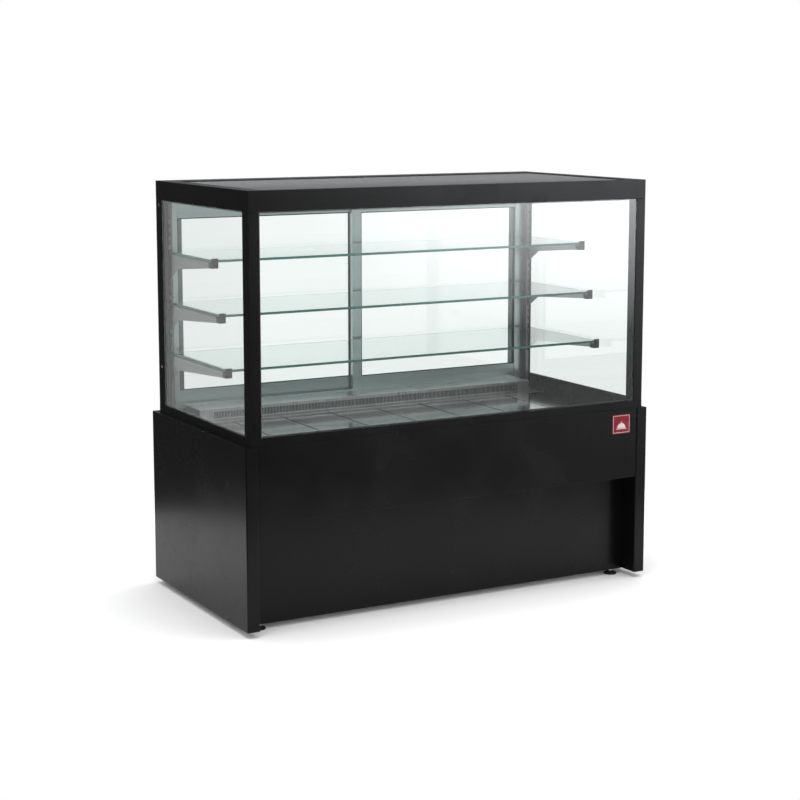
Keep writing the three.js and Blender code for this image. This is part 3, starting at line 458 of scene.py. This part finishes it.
# Black rubber for seals, beads and feet; also used as painted shade on the deck plate joints.
RUBBER_AND_JOINT_SHADE = moulded_plastic("black_rubber_and_joint_shade", (0.006, 0.006, 0.006, 1), (0.014, 0.014, 0.014, 1), 0.72)
CAP_GREY = moulded_plastic("dark_grey_plastic", (0.012, 0.013, 0.014, 1), (0.022, 0.024, 0.025, 1), 0.5)
PALE_MARK = moulded_plastic("pale_marking", (0.55, 0.55, 0.54, 1), (0.7, 0.7, 0.69, 1), 0.5)
SCREW_STEEL = brushed_metal("screw_steel", (0.5, 0.5, 0.49, 1), (0.66, 0.66, 0.65, 1), ALONG_X, 0.25)
BLACK_SCREW = moulded_plastic("blackened_screw", (0.01, 0.01, 0.011, 1), (0.025, 0.025, 0.026, 1), 0.35)


# ---------- mesh helpers ----------

SHARP = radians(35)


def fresh():
    bm = bmesh.new()
    bm.faces.layers.float.new("edge")
    return bm


def add_block(bm, low, high):
    made = bmesh.ops.create_cube(bm, size=1)["verts"]
    bmesh.ops.scale(bm, vec=Vector(high) - Vector(low), verts=made)
    bmesh.ops.translate(bm, vec=(Vector(high) + Vector(low)) / 2, verts=made)
    return made


def round_edges(bm, radius, segments=2, edges=None):
    chosen = edges or [edge for edge in bm.edges if len(edge.link_faces) == 2
                       and edge.calc_face_angle(0) > SHARP]
    layer = bm.faces.layers.float["edge"]
    made = bmesh.ops.bevel(bm, geom=chosen, offset=radius, offset_type="OFFSET", segments=segments,
                           profile=0.5, affect="EDGES", clamp_overlap=True, material=-1)
    for face in made["faces"]:
        face[layer] = 1.0


# A round shape: (radius, height) pairs from one end of the axis to the other.
def add_turned(bm, profile, origin, axis, steps=32):
    axis = Vector(axis)
    side = axis.orthogonal().normalized()
    points = [bm.verts.new(Vector(origin) + side * radius + axis * height) for radius, height in profile]
    edges = [bm.edges.new(pair) for pair in zip(points, points[1:])]
    before = set(bm.faces)
    bmesh.ops.spin(bm, geom=points + edges, cent=origin, axis=axis, angle=2 * pi, steps=steps,
                   use_merge=True, use_duplicate=False)
    made = [face for face in bm.faces if face not in before]
    rim = list({vert for face in made for vert in face.verts})
    bmesh.ops.remove_doubles(bm, verts=rim, dist=1e-6)
    bmesh.ops.recalc_face_normals(bm, faces=[face for face in bm.faces if face not in before])


def finish_piece(name, bm, body, materials, replaces=()):
    mesh = bpy.data.meshes.new(name)
    bm.normal_update()
    bm.to_mesh(mesh)
    bm.free()
    mesh.shade_smooth()
    mesh.set_sharp_from_angle(angle=radians(40))
    piece = link(bpy.data.objects.new(name, mesh))
    for material in materials if isinstance(materials, (list, tuple)) else [materials]:
        mesh.materials.append(material)
    weighted = piece.modifiers.new("even_normals", "WEIGHTED_NORMAL")
    weighted.keep_sharp = True
    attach(piece, body)
    if replaces:
        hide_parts(*replaces)
    return piece


def copy_of(node):
    bm = fresh()
    bm.from_mesh(frame["nodes"][node].data)
    bmesh.ops.remove_doubles(bm, verts=bm.verts[:], dist=1e-5)
    bmesh.ops.dissolve_limit(bm, angle_limit=radians(0.5), verts=bm.verts[:], edges=bm.edges[:])
    return bm


# A machined or folded part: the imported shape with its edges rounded.
def add_softened(node, radius, segments=2, materials=None, paint=None):
    bm = copy_of(node)
    round_edges(bm, radius, segments)
    for face in bm.faces:
        face.material_index = paint(face) if paint else 0
    slot = SLOT_OF[node]
    return finish_piece(f"{node}_finished", bm, BODY_OF[node], materials or FINISHES[slot], [node])


def newest(bm, since):
    return [face for face in bm.faces if face not in since]


def paint_newest(bm, since, index):
    for face in newest(bm, since):
        face.material_index = index


# A rectangular ring of one width, its hole running along the given axis (0, 1 or 2).
def add_ring(bm, low, high, width, along):
    since = set(bm.faces)
    add_block(bm, low, high)
    bm.normal_update()
    ends = [face for face in newest(bm, since) if abs(face.normal[along]) > 0.9]
    bmesh.ops.inset_individual(bm, faces=ends, thickness=width, use_even_offset=True)
    rims = [edge for face in ends for edge in face.edges]
    bmesh.ops.delete(bm, geom=ends, context="FACES_ONLY")
    bmesh.ops.bridge_loops(bm, edges=rims)


# A round-headed screw with a socket, standing on a face whose outward direction is given.
def add_screw(bm, origin, outward, radius):
    rise = radius * 0.45
    profile = [(radius, 0.0), (radius, rise * 0.45), (radius * 0.8, rise * 0.9), (radius * 0.5, rise),
               (radius * 0.42, rise), (radius * 0.42, rise * 0.3), (0.0, rise * 0.3)]
    add_turned(bm, profile, origin, outward, 20)


# ---------- assembly ----------

def pane_edge(face):
    return 1 if abs(face.normal.z) < 0.5 else 0


def add_plain_parts(done):
    radii = {"black_powder_coat": 0.9, "door_aluminium": 0.6, "clear_glass": 0.8,
             "polished_stainless": 0.5, "satin_stainless": 0.4, "galvanised_steel": 0.4}
    for node, slot in SLOT_OF.items():
        if node not in done:
            add_softened(node, radii.get(slot, 0.3) * MM)


# Shadowed joints where the long edges of two plates meet: the plates' side faces are painted black as painted
# shade in the gaps.
def plate_side_painted_shade(face):
    return 1 if abs(face.normal.x) > 0.3 else 0


def add_deck_plates():
    joint = 3.2 * MM
    plates = [node for node in SLOT_OF if node.startswith("deck_plate_")]
    for node in plates:
        # The plates' side faces take the black rubber finish: painted shade in the joints.
        plate = add_softened(node, 1.4 * MM, 3, [FINISHES["polished_stainless"], RUBBER_AND_JOINT_SHADE], plate_side_painted_shade)
        low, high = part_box(node)
        middle, trim = (low.x + high.x) / 2, (high.x - low.x - joint) / (high.x - low.x)
        plate.data.transform(Matrix.Translation(X * middle) @ Matrix.Diagonal((trim, 1, 1, 1))
                             @ Matrix.Translation(-X * middle))
    return plates


# Uprights in satin steel painted darker as shade, with a rubber strip that seals them to the side panes.
def add_uprights():
    for side, sign in SIDES.items():
        add_softened(f"upright_{side}", 0.5 * MM, 2, [UPRIGHT_STEEL_SHADED])
        low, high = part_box(f"upright_{side}")
        outer = sign * max(abs(low.x), abs(high.x))
        xs = sorted((outer, outer - sign * 7.2 * MM))
        bm = fresh()
        add_block(bm, (xs[0], low.y - 1.4 * MM, low.z + 0.5 * MM), (xs[1], low.y - 0.1 * MM, high.z))
        round_edges(bm, 0.4 * MM)
        finish_piece(f"upright_seal_{side}", bm, "case", RUBBER_AND_JOINT_SHADE)
    return [f"upright_{side}" for side in SIDES]


def add_end_panels():
    for side in SIDES:
        add_softened(f"end_panel_{side}", 1.6 * MM, 3)
    return [f"end_panel_{side}" for side in SIDES]


def add_shelves():
    for shelf in SHELVES:
        add_softened(f"shelf_glass_{shelf}", 1.2 * MM, 3,
                     [FINISHES["shelf_glass"], GLASS_EDGE], pane_edge)
    return [f"shelf_glass_{shelf}" for shelf in SHELVES]


# Brackets brushed along their length, with a moulded cap closing each tip.
def add_brackets():
    cap_length, cap_wall, cap_rise = 22 * MM, 1.4 * MM, 1.2 * MM
    done = []
    for shelf in SHELVES:
        caps = fresh()
        for side, sign in SIDES.items():
            node = f"bracket_{shelf}_{side}"
            done.append(node)
            add_softened(node, 0.5 * MM, 2, [SATIN_ACROSS])
            low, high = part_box(node)
            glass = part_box(f"shelf_glass_{shelf}")[0]
            tip_top = glass.z + 12 * MM
            outer = max(abs(low.x), abs(high.x)) + cap_wall
            inner = min(abs(low.x), abs(high.x)) - cap_wall
            xs = sorted((sign * inner, sign * outer))
            add_block(caps, (xs[0], low.y - cap_wall, glass.z - 18.5 * MM),
                      (xs[1], low.y - 0.1 * MM, tip_top + cap_rise))
            xs = sorted((sign * inner, sign * (outer - 2.2 * cap_wall - 0.9 * MM)))
            add_block(caps, (xs[0], low.y + 3.2 * MM, glass.z - 18.5 * MM),
                      (xs[1], low.y + cap_length, glass.z - 2.5 * MM))
            xs = sorted((sign * (outer - cap_wall + 0.1 * MM), sign * outer))
            add_block(caps, (xs[0], low.y - cap_wall, glass.z - 18.5 * MM),
                      (xs[1], low.y + cap_length, glass.z + cap_rise))
        round_edges(caps, 0.5 * MM)
        finish_piece(f"bracket_caps_{shelf}", caps, "case", CAP_GREY)
    return done


# Two rows of fine upright slots in a sheet, with a plain band between them, under a plain ledge.
def add_grille():
    low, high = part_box("rear_air_grille")
    half, blank, sheet, columns = 648.5 * MM, 50 * MM, 1.5 * MM, 217
    heights = [low.z, low.z + 15.5 * MM, low.z + 23.5 * MM, low.z + 26 * MM, low.z + 50.5 * MM,
               high.z - sheet]
    rows = len(heights) - 1
    bm = fresh()
    bmesh.ops.create_grid(bm, x_segments=columns, y_segments=rows, size=1)
    for vert in bm.verts:
        row = round((vert.co.y + 1) / 2 * rows)
        vert.co = (vert.co.x * (half - blank), low.y, heights[row])
    bm.normal_update()
    slotted = []
    for face in bm.faces:
        middle = face.calc_center_median().z
        if heights[1] < middle < heights[2] or heights[3] < middle < heights[4]:
            slotted.append(face)
    bmesh.ops.inset_individual(bm, faces=slotted, thickness=1.0 * MM, use_even_offset=True)
    bmesh.ops.delete(bm, geom=slotted, context="FACES")
    for sign in (-1, 1):
        ends = [edge for edge in bm.edges if all(abs(v.co.x - sign * (half - blank)) < 1e-5
                for v in edge.verts)]
        made = bmesh.ops.extrude_edge_only(bm, edges=ends)["geom"]
        outer = [item for item in made if isinstance(item, bmesh.types.BMVert)]
        bmesh.ops.translate(bm, vec=(sign * blank, 0, 0), verts=outer)
    made = bmesh.ops.extrude_face_region(bm, geom=bm.faces[:])["geom"]
    moved = [item for item in made if isinstance(item, bmesh.types.BMVert)]
    bmesh.ops.translate(bm, vec=(0, sheet, 0), verts=moved)
    bmesh.ops.recalc_face_normals(bm, faces=bm.faces[:])
    finish_piece("air_grille_slotted_face", bm, "case", GRILLE_STEEL_LIT,
                 ["rear_air_grille"])
    bm = fresh()
    add_block(bm, (-half, low.y, high.z - sheet + 0.05 * MM), (half, high.y, high.z))
    deck_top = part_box("deck_plate_1")[1].z
    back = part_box("upright_left")[1].y - 38.3 * MM
    for sign in (-1, 1):
        xs = sorted((sign * (half - sheet), sign * half))
        add_block(bm, (xs[0], low.y + sheet, deck_top - sheet), (xs[1], back, high.z - sheet))
        xs = sorted((sign * half, sign * high.x))
        add_block(bm, (xs[0], low.y + sheet, deck_top - sheet), (xs[1], back, deck_top))
    round_edges(bm, 0.5 * MM)
    finish_piece("air_grille_ledge", bm, "case", GRILLE_STEEL_LIT)
    bm = fresh()
    for x in (-0.6, -0.2, 0.2, 0.6):
        add_screw(bm, (x, low.y + 90 * MM, high.z), Z, 4 * MM)
    finish_piece("air_grille_screws", bm, "case", SCREW_STEEL)
    return ["rear_air_grille"]


# Framed sliding doors: stiles run full height, rails butt between them, and the pull is a
# recessed channel along the outer stile, painted darker as shade.
def add_doors():
    stile, foot, head, joint = 35 * MM, 50 * MM, 52 * MM, 0.25 * MM
    done = []
    for side, sign in SIDES.items():
        node = f"door_frame_{side}"
        done.append(node)
        low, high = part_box(node)
        bm = fresh()
        for x0, x1 in ((low.x, low.x + stile), (high.x - stile, high.x)):
            add_block(bm, (x0, low.y, low.z), (x1, high.y, high.z))
        since = set(bm.faces)
        for z0, z1 in ((low.z, low.z + foot), (high.z - head, high.z)):
            add_block(bm, (low.x + stile + joint, low.y + joint, z0),
                      (high.x - stile - joint, high.y - joint, z1))
        paint_newest(bm, since, 1)
        round_edges(bm, 0.9 * MM)
        outer = sign * (max(abs(low.x), abs(high.x)) - stile - 0.3 * MM)
        xs = sorted((outer - sign * 19.7 * MM, outer))
        since = set(bm.faces)
        add_block(bm, (xs[0], high.y - 3.8 * MM, low.z + foot + 0.5 * MM),
                  (xs[1], high.y - 0.3 * MM, high.z - head - 0.5 * MM))
        bm.normal_update()
        face = max(newest(bm, since), key=lambda item: item.normal.y)
        bmesh.ops.inset_individual(bm, faces=[face], thickness=2.5 * MM, use_even_offset=True)
        bmesh.ops.translate(bm, vec=(0, -1.6 * MM, 0), verts=face.verts[:])
        paint_newest(bm, since, 2)
        finish_piece(f"{node}_finished", bm, BODY_OF[node],
                     [FINISHES["door_aluminium"], RAIL_ALUMINIUM, PULL_SHADE], [node])
        glass_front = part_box(f"door_glass_{side}")[0].y
        xs = (low.x + stile + joint, high.x - stile - joint)
        seal = fresh()
        add_ring(seal, (xs[0], glass_front - 3.2 * MM, low.z + foot + joint),
                 (xs[1], glass_front - 0.1 * MM, high.z - head - joint), 3.5 * MM, 1)
        round_edges(seal, 0.8 * MM)
        finish_piece(f"door_seal_{side}", seal, BODY_OF[node], RUBBER_AND_JOINT_SHADE)
    return done


# Rubber beads in the corners between the fixed panes and their frame.
def add_glazing_beads():
    low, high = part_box("front_glass")
    sill, roof = low.z, high.z
    bead = fresh()
    add_ring(bead, (low.x + 0.1 * MM, high.y + 0.1 * MM, sill), (high.x - 0.1 * MM, high.y + 4 * MM, roof),
             4.5 * MM, 1)
    round_edges(bead, 1.2 * MM, 3)
    finish_piece("front_glazing_bead", bead, "case", RUBBER_AND_JOINT_SHADE)
    for side, sign in SIDES.items():
        low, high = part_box(f"side_glass_{side}")
        inner = sign * (min(abs(low.x), abs(high.x)) - 0.1 * MM)
        xs = sorted((inner, inner - sign * 4 * MM))
        bead = fresh()
        add_ring(bead, (xs[0], low.y + 0.1 * MM, sill), (xs[1], high.y - 0.1 * MM, roof), 4.5 * MM, 0)
        round_edges(bead, 1.2 * MM, 3)
        finish_piece(f"side_glazing_bead_{side}", bead, "case", RUBBER_AND_JOINT_SHADE)
    low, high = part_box("top_glass")
    bead = fresh()
    add_ring(bead, (low.x + 1 * MM, low.y + 1 * MM, high.z + 0.1 * MM),
             (high.x - 1 * MM, high.y - 1 * MM, high.z + 1.4 * MM), 5 * MM, 2)
    round_edges(bead, 0.5 * MM)
    finish_piece("top_glazing_bead", bead, "case", RUBBER_AND_JOINT_SHADE)


def add_post_screws():
    for side, sign in SIDES.items():
        low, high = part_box(f"post_rear_{side}")
        face = sign * max(abs(low.x), abs(high.x))
        bm = fresh()
        for z in (high.z - 16 * MM, low.z + 129 * MM):
            add_screw(bm, (face, (low.y + high.y) / 2 - 5 * MM, z), X * sign, 4.5 * MM)
        finish_piece(f"rear_post_screws_{side}", bm, "case", SCREW_STEEL)


# Pressed hoods over the louvres, and the screws that hold the two rear panels.
def add_rear_panel_details():
    low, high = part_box("rear_service_panel")
    face, hood_depth, lap = high.y, 6 * MM, 2 * MM
    first_row, row_pitch, half_length, slot_height = 210 * MM, 18 * MM, 90 * MM, 6 * MM
    bm = fresh()
    for centre in (-0.21, 0.21):
        for row in range(9):
            z = first_row + row * row_pitch
            since = set(bm.faces)
            add_block(bm, (centre - half_length - lap, face - 0.2 * MM, z - lap),
                      (centre + half_length + lap, face + hood_depth, z + slot_height + lap))
            bm.normal_update()
            made = newest(bm, since)
            ridge = [edge for item in made for edge in item.edges
                     if all(v.co.z > z + slot_height and v.co.y > face for v in edge.verts)]
            mouth = min(made, key=lambda item: item.normal.z)
            bmesh.ops.inset_individual(bm, faces=[mouth], thickness=0.9 * MM, depth=-5 * MM)
            bmesh.ops.bevel(bm, geom=list(dict.fromkeys(ridge)), offset=5.4 * MM, segments=5,
                            profile=0.5, affect="EDGES", material=-1)
    finish_piece("louvre_hoods", bm, "case", FINISHES["black_powder_coat"])
    bm = fresh()
    for x in (-0.69, -0.345, 0.0, 0.345, 0.69):
        for z in (low.z + 12 * MM, high.z - 12 * MM):
            add_screw(bm, (x, face, z), Y, 4 * MM)
    panel_low, panel_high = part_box("control_panel")
    for x in (-0.69, 0.69):
        for z in (panel_low.z + 14 * MM, panel_high.z - 14 * MM):
            add_screw(bm, (x, panel_high.y, z), Y, 4 * MM)
    finish_piece("rear_panel_screws", bm, "case", BLACK_SCREW)


def mid_of(node):
    low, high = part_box(node)
    return (low + high) / 2


# Raised print on a rocker face: a bar on the upper half and a ring on the lower half.
def add_rocker(node):
    bm = copy_of(node)
    bm.normal_update()
    halves = sorted((face for face in bm.faces if face.normal.y > 0.9),
                    key=lambda face: face.calc_center_median().z)
    frames = []
    for face in (halves[0], halves[-1]):
        turn = face.normal.to_track_quat("Z", "Y").to_matrix().to_4x4()
        frames.append(Matrix.Translation(face.calc_center_median()) @ turn)
    round_edges(bm, 0.6 * MM)
    since = set(bm.faces)
    ring = bmesh.ops.create_circle(bm, cap_ends=True, segments=20, radius=2.3 * MM)["verts"]
    face = newest(bm, since)[0]
    bmesh.ops.inset_individual(bm, faces=[face], thickness=0.7 * MM)
    bmesh.ops.delete(bm, geom=[face], context="FACES_ONLY")
    ring = list(dict.fromkeys(vert for item in newest(bm, since) for vert in item.verts))
    bmesh.ops.translate(bm, vec=(0, 0, 0.08 * MM), verts=ring)
    bmesh.ops.transform(bm, matrix=frames[0], verts=ring)
    bar = add_block(bm, (-0.4 * MM, -2.3 * MM, -0.05 * MM), (0.4 * MM, 2.3 * MM, 0.08 * MM))
    bmesh.ops.transform(bm, matrix=frames[1], verts=bar)
    paint_newest(bm, since, 1)
    finish_piece(f"{node}_finished", bm, BODY_OF[node], [FINISHES["black_plastic"], PALE_MARK],
                 [node])


def add_knob():
    middle = mid_of("thermostat_knob")
    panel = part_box("control_panel")[1].y
    centre = Vector((middle.x, panel, middle.z))
    bm = fresh()
    add_turned(bm, [(3 * MM, -11.5 * MM), (3 * MM, 0.8 * MM), (18.7 * MM, 0.8 * MM), (18.9 * MM, 3 * MM),
               (18.2 * MM, 4.6 * MM), (15.4 * MM, 5.6 * MM), (15.0 * MM, 6.2 * MM), (14.2 * MM, 14.6 * MM),
               (13.2 * MM, 15.7 * MM), (0.0, 15.9 * MM)], centre, Y, 48)
    grip = [face for face in bm.faces if 6 * MM < face.calc_center_median().y - panel < 14 * MM
            and face.calc_area() > 4e-6]
    grip.sort(key=lambda face: angle_about(face, centre))
    flutes = grip[::3]
    bmesh.ops.inset_individual(bm, faces=flutes, thickness=0.25 * MM, depth=-0.8 * MM)
    since = set(bm.faces)
    add_block(bm, (centre.x - 0.7 * MM, panel + 15.5 * MM, centre.z + 4 * MM),
              (centre.x + 0.7 * MM, panel + 15.98 * MM, centre.z + 12.5 * MM))
    paint_newest(bm, since, 1)
    finish_piece("thermostat_knob_finished", bm, BODY_OF["thermostat_knob"],
                 [FINISHES["black_plastic"], PALE_MARK], ["thermostat_knob"])
    bm = fresh()
    marks, sweep = 21, 270
    for step in range(marks):
        turn = Matrix.Rotation(radians(-sweep / 2 + sweep / (marks - 1) * step), 4, "Y")
        reach = 28.5 * MM if step % 2 else 30 * MM
        tick = add_block(bm, (-0.4 * MM, 0.0, 25 * MM), (0.4 * MM, 0.25 * MM, reach))
        bmesh.ops.transform(bm, matrix=Matrix.Translation(centre) @ turn, verts=tick)
    finish_piece("thermostat_dial_marks", bm, "case", PALE_MARK)


def angle_about(face, centre):
    across = face.calc_center_median() - centre
    return Vector((across.x, across.z)).angle_signed(Vector((0.0, 1.0)))


# Seven-segment strokes for a two-digit temperature, on the display window.
def add_display_details():
    low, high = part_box("display_window")
    bezel = fresh()
    add_ring(bezel, (low.x - 3.5 * MM, low.y - 0.2 * MM, low.z - 3.5 * MM),
             (high.x + 3.5 * MM, high.y + 0.8 * MM, high.z + 3.5 * MM), 3.3 * MM, 1)
    round_edges(bezel, 0.7 * MM)
    finish_piece("display_bezel", bezel, "case", FINISHES["black_plastic"])
    tall, wide, stroke = 18 * MM, 9.5 * MM, 1.7 * MM
    strokes = {"a": (0, 1, 1, 1), "b": (1, 0.5, 1, 1), "c": (1, 0, 1, 0.5), "d": (0, 0, 1, 0),
               "e": (0, 0, 0, 0.5), "f": (0, 0.5, 0, 1), "g": (0, 0.5, 1, 0.5)}
    bm = fresh()
    base = (low.z + high.z - tall) / 2
    for left, lit in ((high.x - 22 * MM, "acdefg"), (high.x - 37 * MM, "acdfg")):
        for name in lit:
            x0, z0, x1, z1 = strokes[name]
            along_x = z0 == z1
            trim = stroke * 0.6
            start = (left - x1 * wide + (trim if along_x else -stroke / 2),
                     base + z0 * tall + (-stroke / 2 if along_x else trim))
            end = (left - x0 * wide + (-trim if along_x else stroke / 2),
                   base + z1 * tall + (stroke / 2 if along_x else -trim))
            add_block(bm, (start[0], high.y - 0.05 * MM, start[1]), (end[0], high.y + 0.12 * MM, end[1]))
    finish_piece("display_digits", bm, "case", DIGITS)
    bm = fresh()
    for x in (low.x + 10 * MM, low.x + 21 * MM):
        add_turned(bm, [(3.6 * MM, -0.2 * MM), (3.6 * MM, 0.7 * MM), (3.0 * MM, 1.1 * MM),
                   (0.0, 1.1 * MM)], (x, high.y, (low.z + high.z) / 2), Y, 24)
    finish_piece("display_buttons", bm, "case", CAP_GREY)


def add_switch_bezels():
    bm = fresh()
    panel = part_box("control_panel")[1].y
    height, half_wide, half_tall = 505 * MM, 11.5 * MM, 15.5 * MM
    for node in ("main_switch", "lamp_switch"):
        x = mid_of(node).x
        add_ring(bm, (x - half_wide, panel + 0.05 * MM, height - half_tall),
                 (x + half_wide, panel + 1.8 * MM, height + half_tall), 1.9 * MM, 1)
    round_edges(bm, 0.5 * MM)
    finish_piece("switch_bezels", bm, "case", FINISHES["black_plastic"])


# Adjustable foot: rubber-soled pad, threaded stem and lock nut.
def add_feet():
    done = []
    for node in (name for name in SLOT_OF if name.startswith("foot_")):
        done.append(node)
        low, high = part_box(node)
        x, y = (low.x + high.x) / 2, (low.y + high.y) / 2
        rise = high.z - low.z
        bm = fresh()
        add_turned(bm, [(0.0, 0.0), (20.5 * MM, 0.0), (21.8 * MM, 1.2 * MM), (21.8 * MM, 4.5 * MM),
                   (19.5 * MM, 6.5 * MM), (11 * MM, 9 * MM), (9.5 * MM, 11.5 * MM), (6 * MM, 12 * MM),
                   (0.0, 12 * MM)], (x, y, low.z), Z, 40)
        since = set(bm.faces)
        profile = [(0.0, 11.5 * MM), (5.2 * MM, 11.5 * MM)]
        pitch = 1.75 * MM
        turns = int((rise - 13 * MM) / pitch)
        for turn in range(turns):
            height = 12 * MM + turn * pitch
            profile += [(5.9 * MM, height + pitch * 0.5), (5.2 * MM, height + pitch)]
        profile.append((0.0, 12 * MM + turns * pitch))
        add_turned(bm, profile, (x, y, low.z), Z, 24)
        nut = bmesh.ops.create_circle(bm, cap_ends=True, segments=6, radius=10.5 * MM)["verts"]
        bmesh.ops.translate(bm, vec=(x, y, low.z + 13.5 * MM), verts=nut)
        made = bmesh.ops.extrude_face_region(bm, geom=[nut[0].link_faces[0]])["geom"]
        bmesh.ops.translate(bm, vec=(0, 0, 5.5 * MM),
                            verts=[item for item in made if isinstance(item, bmesh.types.BMVert)])
        paint_newest(bm, since, 1)
        bmesh.ops.recalc_face_normals(bm, faces=bm.faces[:])
        finish_piece(f"{node}_finished", bm, BODY_OF[node], [RUBBER_AND_JOINT_SHADE, SCREW_STEEL], [node])
    return done


# Moulded fan wheels: a domed hub and blades that twist from root to tip.
def add_fan_wheels():
    done = []
    for side in SIDES:
        node = f"fan_wheel_{side}"
        done.append(node)
        low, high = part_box(node)
        centre = Vector(((low.x + high.x) / 2, (low.y + high.y) / 2, 0.0))
        reach = min(high.x - low.x, high.y - low.y) / 2 - 0.6 * MM
        depth, hub = high.z - low.z, 18 * MM
        bm = fresh()
        add_turned(bm, [(0.0, depth * 0.05), (hub * 0.8, depth * 0.05), (hub, depth * 0.15),
                   (hub, depth * 0.8), (hub * 0.9, depth * 0.95), (hub * 0.55, depth * 0.99),
                   (0.0, depth * 0.99)], centre + Z * low.z, Z, 36)
        for blade in range(7):
            since = set(bm.faces)
            verts = bmesh.ops.create_grid(bm, x_segments=8, y_segments=5, size=1)["verts"]
            for vert in verts:
                along, across = (vert.co.x + 1) / 2, vert.co.y
                distance = hub - 1 * MM + along * (reach - hub + 1 * MM)
                pitch = radians(48 - 20 * along)
                chord = (9.5 + 5 * along) * MM * (1 - 0.12 * across * across)
                turn = 2 * pi * blade / 7 + (across * chord * cos(pitch) + along * along * 6 * MM) / distance
                height = depth / 2 + across * chord * sin(pitch) * 0.62
                vert.co = centre + Vector((distance * cos(turn), distance * sin(turn), low.z + height))
            bmesh.ops.solidify(bm, geom=newest(bm, since), thickness=1.1 * MM)
        bmesh.ops.recalc_face_normals(bm, faces=bm.faces[:])
        finish_piece(f"{node}_finished", bm, BODY_OF[node], FINISHES["black_plastic"],
                     [node])
    return done


# Enamelled badge with a thin pale border and a plain dish cover.
def add_badge():
    low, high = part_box("badge_plate")
    add_softened("badge_plate", 0.4 * MM)
    sunk, raised = low.y + 0.1 * MM, low.y - 0.18 * MM
    bm = fresh()
    add_ring(bm, (low.x + 3 * MM, raised, low.z + 3 * MM), (high.x - 3 * MM, sunk, high.z - 3 * MM),
             1.3 * MM, 1)
    x, z = (low.x + high.x) / 2, low.z + 19 * MM
    add_block(bm, (x - 21 * MM, raised, z - 3.6 * MM), (x + 21 * MM, sunk, z - 1.4 * MM))
    dome = bmesh.ops.create_circle(bm, cap_ends=True, segments=48, radius=17 * MM)["verts"]
    bmesh.ops.rotate(bm, matrix=Matrix.Rotation(pi / 2, 3, "X"), verts=dome)
    bmesh.ops.translate(bm, vec=(x, raised, z), verts=dome)
    disc = [face for face in bm.faces if len(face.verts) == 48]
    bmesh.ops.bisect_plane(bm, geom=disc + dome + [edge for face in disc for edge in face.edges],
                           plane_co=(x, 0, z), plane_no=(0, 0, -1), clear_outer=True)
    knob = bmesh.ops.create_circle(bm, cap_ends=True, segments=24, radius=2.2 * MM)["verts"]
    bmesh.ops.rotate(bm, matrix=Matrix.Rotation(pi / 2, 3, "X"), verts=knob)
    bmesh.ops.translate(bm, vec=(x, raised, z + 20 * MM), verts=knob)
    finish_piece("badge_border_and_motif", bm, "case", BADGE_PRINT)
    return ["badge_plate"]


def main():
    add_camera()
    add_background()
    add_floor()
    add_lights()
    done = add_shelves() + add_brackets() + add_grille() + add_doors() + add_feet()
    done += add_fan_wheels() + add_badge() + add_end_panels() + add_deck_plates() + add_uprights()
    add_rocker("main_switch")
    add_rocker("lamp_switch")
    add_knob()
    done += ["main_switch", "lamp_switch", "thermostat_knob"]
    add_plain_parts(done)
    add_glazing_beads()
    add_post_screws()
    add_rear_panel_details()
    add_display_details()
    add_switch_bezels()


main()
bpy.context.scene.view_settings.view_transform = "Standard"
